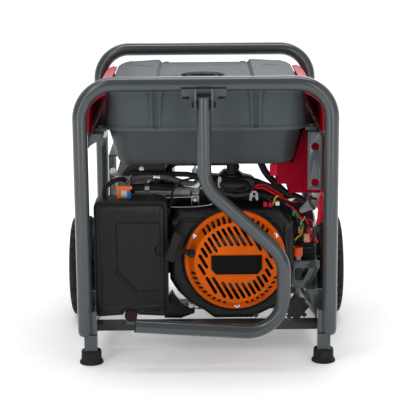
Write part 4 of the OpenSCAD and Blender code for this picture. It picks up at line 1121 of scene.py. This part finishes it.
for i, y in enumerate(OUTLET_Y):
    n = str(i + 1)
    flat("outlet_frame_" + n, rounded(-36, -42, 36, 42, 5), [rounded(-17.5, -36.5, 17.5, 36.5, 3)], 3,
        facing_right(PX + 1.5, y, OUTLET_Z), SOCKET, edge=0.8)
    for z in (OUTLET_Z - 17, OUTLET_Z + 17):
        slots = [slot_loop(-6.2, -3.6, -6.2, 4.4, 2.0, 3), slot_loop(6.2, -2.8, 6.2, 3.6, 2.0, 3),
            arc(0, -9.2, 2.6, 0, 330, 11)]
        flat("outlet_%s_%d" % (n, z), rounded(-16, -16, 16, 16, 7), slots, 3, facing_right(PX + 4.2, y, z),
            SOCKET, edge=0.7)
    flat("cover_flap_" + n, rounded(-34, 362, 34, 443.5, 5), [], 4, facing_right(PX + 8, y), RUBBER,
        body="cover_" + n, edge=1.4, replaces=["outlet_cover_" + n])
    flat("cover_pad_" + n, rounded(-27, 370, 27, 436, 6), [], 2.4, facing_right(PX + 10.4, y), RUBBER,
        body="cover_" + n, edge=1.0)
    bm = bmesh.new()
    bm_revolve(bm, [(0, -41), (1.6, -41), (2, -40), (2, 40), (1.6, 41), (0, 41)], (PX + 8, y, HINGE_Z),
        BACK, 20)
    bm_revolve(bm, [(2, -30), (4, -29), (4, -10), (2, -9)], (PX + 8, y, HINGE_Z), BACK, 20, closed=True)
    bm_revolve(bm, [(2, 9), (4, 10), (4, 29), (2, 30)], (PX + 8, y, HINGE_Z), BACK, 20, closed=True)
    bm_box(bm, (PX + 9.6, y - 10, 363.5), (PX + 13.6, y + 10, 369.5))
    piece("cover_hinge_" + n, bm, RUBBER, "cover_" + n, 0.6)
    turned("breaker_nut_" + n, [(5.6, 0), (9.5, 0), (9.5, 3), (8.4, 4.2), (5.6, 4.2)], (PX, y, BREAKER_Z),
        RIGHT, BLACK, steps=12, closed=True, bevel=0.4, slot="socket_plastic", angle=20)
    turned("breaker_button_" + n,
        [(0, -14), (8, -14), (8, -12.2), (5, -12), (5, 4.5), (4.2, 5.8), (2, 6), (0, 5.6)],
        (PX, y, BREAKER_Z), RIGHT, WHITE, body="breaker_button_" + n, steps=32, replaces=["breaker_" + n])
for i, y in enumerate(TWIST_Y):
    turned("twist_outlet_%d" % (i + 1),
        [(0, 0.2), (28, 0.2), (28, 5), (26.8, 7.4), (25, 8), (21.5, 8), (20.4, 7), (20, 3.4), (0, 3.2)],
        (PX, y, TWIST_Z), RIGHT, SOCKET, steps=56, angle=30, replaces=["outlets"])
    bm = bmesh.new()
    for k in range(4):
        a = math.radians(90 * k + 20)
        run = [(PX + 4.2, y + 11.5 * math.cos(a + t), TWIST_Z + 11.5 * math.sin(a + t))
            for t in (-0.45, -0.22, 0, 0.22, 0.45)]
        bm_tube(bm, run, 1.25, 8, False)
    bm_revolve(bm, [(0, 3), (3.2, 3), (3.2, 4.6), (2, 5), (0, 5)], (PX, y, TWIST_Z), RIGHT, 20)
    piece("twist_contacts_%d" % (i + 1), bm, BRASS)
boxes("hinge_ears",
    [((PX + 0.2, y + s * 38 - 1.9, 441.2), (PX + 11.8, y + s * 38 + 1.9, 450.8)) for y in OUTLET_Y
        for s in (-1, 1)], SOCKET, bevel=0.9)

boxes("meter_case", [((PX + 0.1, 320, 452), (PX + 3.4, 368, 478))], SOCKET, bevel=1.4,
    replaces=["hour_meter"])
flat("meter_bezel", rounded(320, 452, 368, 478, 3), [rounded(327, 458, 361, 472, 1.5)], 2,
    facing_right(PX + 4), SOCKET, edge=0.6)
boxes("meter_window", [((PX + 3, 328, 459), (PX + 3.8, 360, 471))], GLASS, bevel=0.3)
flat("switch_bezel", rounded(57, 436, 83, 474, 3), [rounded(59.6, 439.4, 80.4, 470.6, 1)], 2.2,
    facing_right(PX + 1.2), BLACK, edge=0.7)
rock = []
for z, out in ((440.2, 4.4), (441, 5), (450, 3.4), (455, 2.8), (460, 3.2), (469, 4.4), (469.8, 3.8)):
    rock.append([(PX - 7.8, 60.2, z), (PX + out - 0.5, 60.2, z), (PX + out, 60.8, z), (PX + out, 79.2, z),
            (PX + out - 0.5, 79.8, z), (PX - 7.8, 79.8, z)])
loft("start_rocker", rock, SWITCH_RED, "switch_rocker", replaces=["start_switch"], angle=40)

# ---------------------------------------------------------------- wheels and feet


def tread(name, side, body, node):
    """A tyre with three grooves round it and notched shoulders."""
    lo, hi = span(node)
    cy, cz = (lo.y + hi.y) / 2, (lo.z + hi.z) / 2
    x_in = min(abs(lo.x), abs(hi.x))
    prof = [(84.2, 6), (86, 2.5), (90, 0.6), (97, 0), (104, 0.6), (110, 1.6), (115, 3.4), (119, 7),
        (121, 11), (121.8, 15), (122, 18), (119, 18.6), (119, 20.6), (122, 21.2), (122, 26), (119, 26.6),
        (119, 28.6), (122, 29), (122, 34), (119, 34.4), (119, 36.4), (122, 37), (121.8, 40), (121, 44),
        (119, 48), (115, 51.6), (110, 53.4), (104, 54.4), (97, 55), (90, 54.4), (86, 52.5), (84.2, 49)]
    n = 192
    bm = bmesh.new()
    rings = []
    for r, t in prof:
        ring = []
        for k in range(n):
            a = 2 * math.pi * k / n
            rr = r
            if 115 <= r <= 121.9 and not 17 < t < 38:
                rr = r - (3.0 if k % 6 in (0, 1) else 0.0)
            elif r == 122:
                shift = {18: 0, 21.2: 0, 26: 1, 29: 3, 34: 3, 37: 5}.get(t, 0)
                rr = r - (2.4 if (k + shift) % 6 == 0 else 0.0)
            ring.append(bm.verts.new(at(side * (x_in + t), cy + rr * math.cos(a), cz + rr * math.sin(a))))
        rings.append(ring)
    skin(bm, rings + rings[:1], False)
    piece(name, bm, TYRE, body, replaces=[node], angle=32)
    # raised rings on both walls
    bm = bmesh.new()
    for t in (0.3, 54.7):
        bm_revolve(bm, [(99, -0.5), (100, 0.5), (101.2, 0.5), (102.2, -0.5)], (side * (x_in + t), cy, cz),
            (side if t > 20 else -side, 0, 0), 96, closed=True)
    piece(name + "_rings", bm, TYRE, body)


def rim(name, side, body, node):
    """A five-hole wheel: a ribbed disc, a barrel and a hub."""
    lo, hi = span(node)
    cy, cz, mid = (lo.y + hi.y) / 2, (lo.z + hi.z) / 2, min(abs(lo.x), abs(hi.x)) + 29.5
    hole_ring, hole_turns = 50, [math.radians(90 + 72 * i) for i in range(5)]
    holes = [arc(hole_ring * math.cos(b), hole_ring * math.sin(b), 18, 0, 350, 29) for b in hole_turns]
    holes.append(arc(0, 0, 8.1, 0, 350, 23))

    def dish(u, v):
        r = math.hypot(u, v)
        k = 0.0
        if r < 24:
            k += 9 * min(1.0, (24 - r) / 5)
        if r > 71:
            k += 8 * min(1.0, (r - 71) / 8)
        for i in range(5):
            a = math.radians(90 + 36 + 72 * i)
            along, off = u * math.cos(a) + v * math.sin(a), abs(-u * math.sin(a) + v * math.cos(a))
            if 22 < along < 72:
                k += 4.0 * max(0.0, min(1.0, (5.5 - off) / 3)) * min(1.0, (72 - along) / 6)
            b = hole_turns[i]
            d = math.hypot(u - hole_ring * math.cos(b), v - hole_ring * math.sin(b))
            k += 2.0 * max(0.0, min(1.0, (22.5 - d) / 2))
        return k

    def place(u, v, w):
        return at(side * (mid - 1.5 + w), cy + u * side, cz + v)

    moulded(name + "_disc", circle(81, 120), [(0, 0), (0, 0.5)], place, RIM, body=body, height=dish,
        holes=holes, extra=[circle(r, 72) for r in (19, 24, 71, 79)], step=3.6, wall=6, replaces=[node],
        angle=32)
    turned(name + "_barrel",
        [(80, -24), (83.4, -24), (84, -23), (84, 23), (83.4, 24), (80, 24), (79, 22), (79, -22)],
        (side * mid, cy, cz), (side, 0, 0), RIM, body=body, steps=96, closed=True, angle=30)
    turned(name + "_hub", [(8.1, -29), (17, -29), (18, -28), (18, 16), (16.6, 17.4), (8.1, 17.4)],
        (side * mid, cy, cz), (side, 0, 0), RIM, body=body, steps=48, closed=True, angle=30)


tread("tyre_l", -1, "wheel_left", "tyre_left")
tread("tyre_r", 1, "wheel_right", "tyre_right")
rim("rim_l", -1, "wheel_left", "rim_left")
rim("rim_r", 1, "wheel_right", "rim_right")

for s, tag in SIDES:
    turned("foot_" + tag,
        [(0, 0), (24.5, 0), (26.2, 0.8), (26.5, 2.4), (26, 4.6), (23.9, 7.4), (22.7, 10), (22.2, 13),
            (22.5, 14), (22.1, 15), (22.1, 17), (22.5, 18), (22.1, 19), (22.1, 21), (22.5, 22), (22.1, 23),
            (22.1, 27), (21.4, 29.2), (19.6, 30), (0, 30)], (s * FOOT_X, 4, 0), UP, RUBBER, steps=56,
        replaces=["rubber_feet"])
bm = bmesh.new()
for x, y, h in ((-2, 240, 14), (128, 240, 14), (10, 580, 20), (116, 580, 20)):
    bm_revolve(bm,
        [(0, 0), (15, 0), (16, 1), (16, 2.5), (13.5, h / 2), (16, h - 2.5), (16, h - 1), (15, h), (0, h)],
        (x, y, 69), UP, 36)
piece("engine_mounts", bm, RUBBER, replaces=["rubber_mounts"])
turned("handle_plug", [(0, -3), (10, -2.4), (13.6, -1), (14.8, 1), (15, 3), (13, 3.2), (0, 3.2)],
    (-155, -40, 97.5), (-1, 0, 0.065), BLACK, body="handle", steps=36)

# ---------------------------------------------------------------- battery, tray and module

boxes("battery_case",
    [((199.5, 129.5, 138.2), (247.5, 276.5, 222)), ((198, 128, 222), (249, 278, 230)),
        ((201, 132, 230), (246, 274, 236))], BATTERY, bevel=1.6, replaces=["battery"])
boxes("battery_ribs", [((198.2, 128.2, z), (248.8, 277.8, z + 3)) for z in range(146, 221, 7)], BATTERY)
bm = bmesh.new()
for y in (150, 172, 194, 216, 238, 256):
    bm_revolve(bm, [(0, 0), (6, 0), (6, 1.6), (5, 2.4), (0, 2.4)], (214, y, 236), UP, 24)
piece("battery_plugs", bm, BATTERY)
for y, mat, tag in ((150, CONNECTOR_RED, "plus"), (256, BATTERY, "minus")):
    turned("terminal_" + tag, [(0, 0), (8, 0), (8.6, 1), (8, 4), (5, 6), (5, 12), (4, 13), (0, 13)],
        (228, y, 236), UP, ZINC, steps=28)
    hose("terminal_boot_" + tag, [(228, y, 244), (238, y - 4, 246), (246, y - 12, 244), (250, y - 16, 236)],
        4.4, mat, sides=14, slot="rubber")
flat("tray_front", round_off([(195, 141), (229, 141), (254, 190), (254, 205), (195, 205)], 2.5),
    [round_off([(199, 161), (217, 161), (229, 183), (229, 188), (199, 188)], 3)], 4, facing_front(94),
    SLATE, edge=0.8, replaces=["battery_tray"])
boxes("tray_base",
    [((196, 124, 134), (250, 283, 137.6)), ((196, 280, 137), (250, 283, 196)),
        ((196, 120, 134), (250, 124, 200)), ((195, 94, 141), (196.6, 122, 145)),
        ((214.6, 94, 141), (236, 122, 145)), ((196, 116, 141), (215, 122, 145)),
        ((248, 124, 137), (250, 283, 150)), ((228, 134, 101), (249, 139, 134)),
        ((228, 262, 101), (249, 267, 134))], SLATE, bevel=0.9)
boxes("tray_stop", [((234, 106, 145), (249, 120, 178))], BLACK_PAINT, slot="bracket_paint")
turned("filler_sleeve", [(8.2, 0), (10.4, 0), (10.4, 52), (9.6, 53.4), (8.2, 53.4)], (205.5, 105, 146), UP,
    BLACK, steps=32, closed=True)
turned("filler_collar", [(10.5, 0), (12.2, 0.6), (12.2, 4.4), (10.5, 5)], (205.5, 105, 192), UP, WHITE,
    steps=32, closed=True)
lean = Matrix.Rotation(math.radians(40), 3, "Y")
boxes("module_body", [((179, 65, 81), (221, 84, 123), lean)], BLACK, bevel=2.2, replaces=["control_module"])
boxes("module_lid", [((183, 63, 85), (217, 66, 119), lean)], BLACK, bevel=1.4)
boxes("module_tabs", [((171, 66, 97), (229, 69, 107), lean), ((195, 66, 73), (205, 69, 131), lean)], BLACK)

# ---------------------------------------------------------------- hoop toes and the rails under the tank

for s, tag in SIDES:
    turned("hoop_toe_" + tag,
        [(0, 0), (7, 0.7), (11.5, 3.2), (14.6, 7.6), (16.2, 13.5), (16.3, 94), (15.4, 98), (0, 98)],
        (s * TOE_X, 0, 62), UP, SLATE, steps=48)
RAIL_TOP = span("tank_rails")[1].z
# ledges under the covers drawn in the darker red copy: painted shade
boxes("cover_ledge", [((s * 250.5 - 4.5, 20, 507), (s * 250.5 + 4.5, 640, 510.5)) for s in (-1, 1)],
    RED_PAINTED_SHADE)
boxes("tank_rail_bars",
    [((s * 235.5 - 11.5, 14, RAIL_TOP - 6), (s * 235.5 + 11.5, 604, RAIL_TOP)) for s in (-1, 1)]
    + [((s * 222.5 - 1.5, 14, RAIL_TOP - 26), (s * 222.5 + 1.5, 604, RAIL_TOP - 2)) for s in (-1, 1)],
    SLATE, bevel=1.0, replaces=["tank_rails"])
flat("tank_rail_plate",
    round_off([(219.5, 385), (262, 385), (262, 392), (252, 394), (252, 512), (219.5, 512)], 2),
    [arc(235.5, z, 8.5, 0, 350, 29) for z in (401, 480)], 4, facing_front(18), SLATE, edge=0.8)
flat("tank_rail_tab",
    round_off([(-254, 512), (-217, 512), (-222, 503), (-238, 492), (-248, 486), (-254, 478)], 2), [], 4,
    facing_front(18), SLATE, edge=0.8)
# the covers' end plates are drawn in the darker copy of the frame paint: painted shade
for s, tag in SIDES:
    flat("cover_end_" + tag,
        round_off([(s * 224, 512), (s * 252, 512), (s * 252, 552), (s * 240, 568), (s * 232, 570)], 2), [],
        3, facing_front(640), SLATE_PAINTED_SHADE, edge=0.8)
for s, name in ((-1, "tank_rail_rear"), (1, "tank_rail_rear_right")):
    flat(name,
        round_off([(s * x, z) for x, z in ((262, 512), (217, 512), (222, 500), (250, 480), (262, 480))], 2),
        [], 4, facing_front(604), SLATE, edge=0.8)

# ---------------------------------------------------------------- materials on the CAD nodes that stay

FINISH = [
    (SLATE, 0.5, "front_hoop rear_hoop fold_handle"),
    (SLATE, 0.8, "wheel_brackets frame_brackets"),
    # the cross rails get the darker copy of the frame paint: painted shade under the engine
    (SLATE_PAINTED_SHADE, 0.8, "cross_rails"),
    (SLATE, 0.8, "handle_bracket"),
    (BLACK_PAINT, 0.6, "frame_bolts"),
    (ZINC, 0.4, "axle_pins"),
    (ALLOY, 0.9, "engine_block cylinder_head air_cleaner_base"),
    (BLACK_PAINT, 0.8, "rocker_cover muffler_guard alternator_end_cover"),
    (MUFFLER, 0.8, "muffler"),
    (ZINC, 0.5, "carburettor governor_arm choke_lever"),
    (BLACK_PAINT, 0.6, "starter_motor"),
    (LAMINATED, 0.5, "alternator_stator alternator_rotor"),
    (IRON, 0.6, "crankshaft flywheel recoil_pulley"),
    (RUBBER, 0.0, "fuel_hose wiring_harness"),
    (WHITE, 0.3, "spark_plug"),
    (IRON, 0.4, "fuel_valve"),
    (BLACK, 0.6, "fuel_valve_knob"),
    (KNOB, 0.4, "dipstick"),
    (FOAM, 0.8, "air_filter"),
]
for mat, bevel, names in FINISH:
    for n in names.split():
        carry(n, mat)
        if bevel:
            soften(NODES[n], bevel, 50)

# ---------------------------------------------------------------- camera, floor and light

CAM = Vector((-0.0102, -3.2771, 1.0286))
PITCH, YAW, ROLL = math.radians(12.883), math.radians(0.262), math.radians(-0.415)
LENS, SENSOR = 121.8, 36        # millimetres

camera_data = bpy.data.cameras.new("camera")
camera_data.sensor_width = SENSOR
camera_data.lens = LENS
camera_data.clip_start = 0.05
camera_data.clip_end = 60
camera = bpy.data.objects.new("camera", camera_data)
bpy.context.scene.collection.objects.link(camera)
ahead = Vector((math.sin(YAW) * math.cos(PITCH), math.cos(YAW) * math.cos(PITCH), -math.sin(PITCH)))
right = Vector((math.cos(YAW), -math.sin(YAW), 0))
up = right.cross(ahead)
side = right * math.cos(ROLL) + up * math.sin(ROLL)
top = up * math.cos(ROLL) - right * math.sin(ROLL)
turn = Matrix((side, top, -ahead)).transposed().to_4x4()
camera.matrix_world = Matrix.Translation(CAM) @ turn
bpy.context.scene.camera = camera


def area(name, place, target, size, power):
    """A rectangular light that looks at target."""
    light = bpy.data.lights.new(name, "AREA")
    light.shape = "RECTANGLE"
    light.size, light.size_y = size
    light.energy = power
    o = bpy.data.objects.new(name, light)
    o.location = place
    o.rotation_euler = (Vector(target) - Vector(place)).to_track_quat("-Z", "Y").to_euler()
    o.visible_camera = False
    bpy.context.scene.collection.objects.link(o)


area("key", (-1.6, -1.7, 2.5), (0, 0, 0.3), (0.9, 1.4), 13)
area("fill", (2.0, -1.6, 1.4), (0, 0, 0.3), (0.8, 1.6), 4)
area("top", (0.0, 0.0, 2.9), (0, 0, 0.3), (2.6, 0.6), 30)
area("back", (0.6, 2.6, 1.8), (0, 0, 0.3), (1.8, 1.2), 14)
area("strip_left", (-0.95, -1.7, 0.75), (-0.1, -0.3, 0.3), (0.24, 1.4), 5)
area("strip_right", (0.80, -1.8, 0.75), (0.1, -0.3, 0.3), (0.22, 1.4), 4.5)

# a bright room behind the object and a dimmer one on the camera's side
world = bpy.data.worlds.new("studio")
world.use_nodes = True
wn, wl = world.node_tree.nodes, world.node_tree.links
split = wn.new("ShaderNodeSeparateXYZ")
wl.new(wn.new("ShaderNodeTexCoord").outputs["Generated"], split.inputs[0])
wl.new(ramp(wn, wl, split.outputs["Y"], [(0.0, grey(0.36)), (0.6, grey(1.0))]), wn["Background"].inputs[0])
wn["Background"].inputs[1].default_value = 1.0
bpy.context.scene.world = world
bpy.context.scene.view_settings.view_transform = "Standard"

fm, fn, fl, fs = graph("studio_floor")
grain = fn.new("ShaderNodeTexCoord").outputs["Object"]
fl.new(ramp(fn, fl, noise(fn, fl, grain, 3, 3), [(0.3, grey(0.90)), (0.7, grey(0.93))]),
    fs.inputs["Base Color"])
fl.new(ramp(fn, fl, noise(fn, fl, grain, 40, 3), [(0.3, grey(0.55)), (0.7, grey(0.65))]),
    fs.inputs["Roughness"])
fs.inputs["Specular IOR Level"].default_value = 0.2
# the floor glows a little away from the object, so it runs into the white behind
away = fn.new("ShaderNodeVectorMath")
away.operation = "LENGTH"
fl.new(grain, away.inputs[0])
reach = fn.new("ShaderNodeMath")
reach.operation = "DIVIDE"
fl.new(away.outputs["Value"], reach.inputs[0])
reach.inputs[1].default_value = 8.0
glow = ramp(fn, fl, reach.outputs[0], [(0.07, grey(0.20)), (0.30, grey(0.5))])
fl.new(glow, fs.inputs["Emission Color"])
fs.inputs["Emission Strength"].default_value = 1.0
bm = bmesh.new()
bmesh.ops.create_grid(bm, x_segments=8, y_segments=8, size=12)
floor = new_object("floor", bm)
floor.data.materials.append(fm)
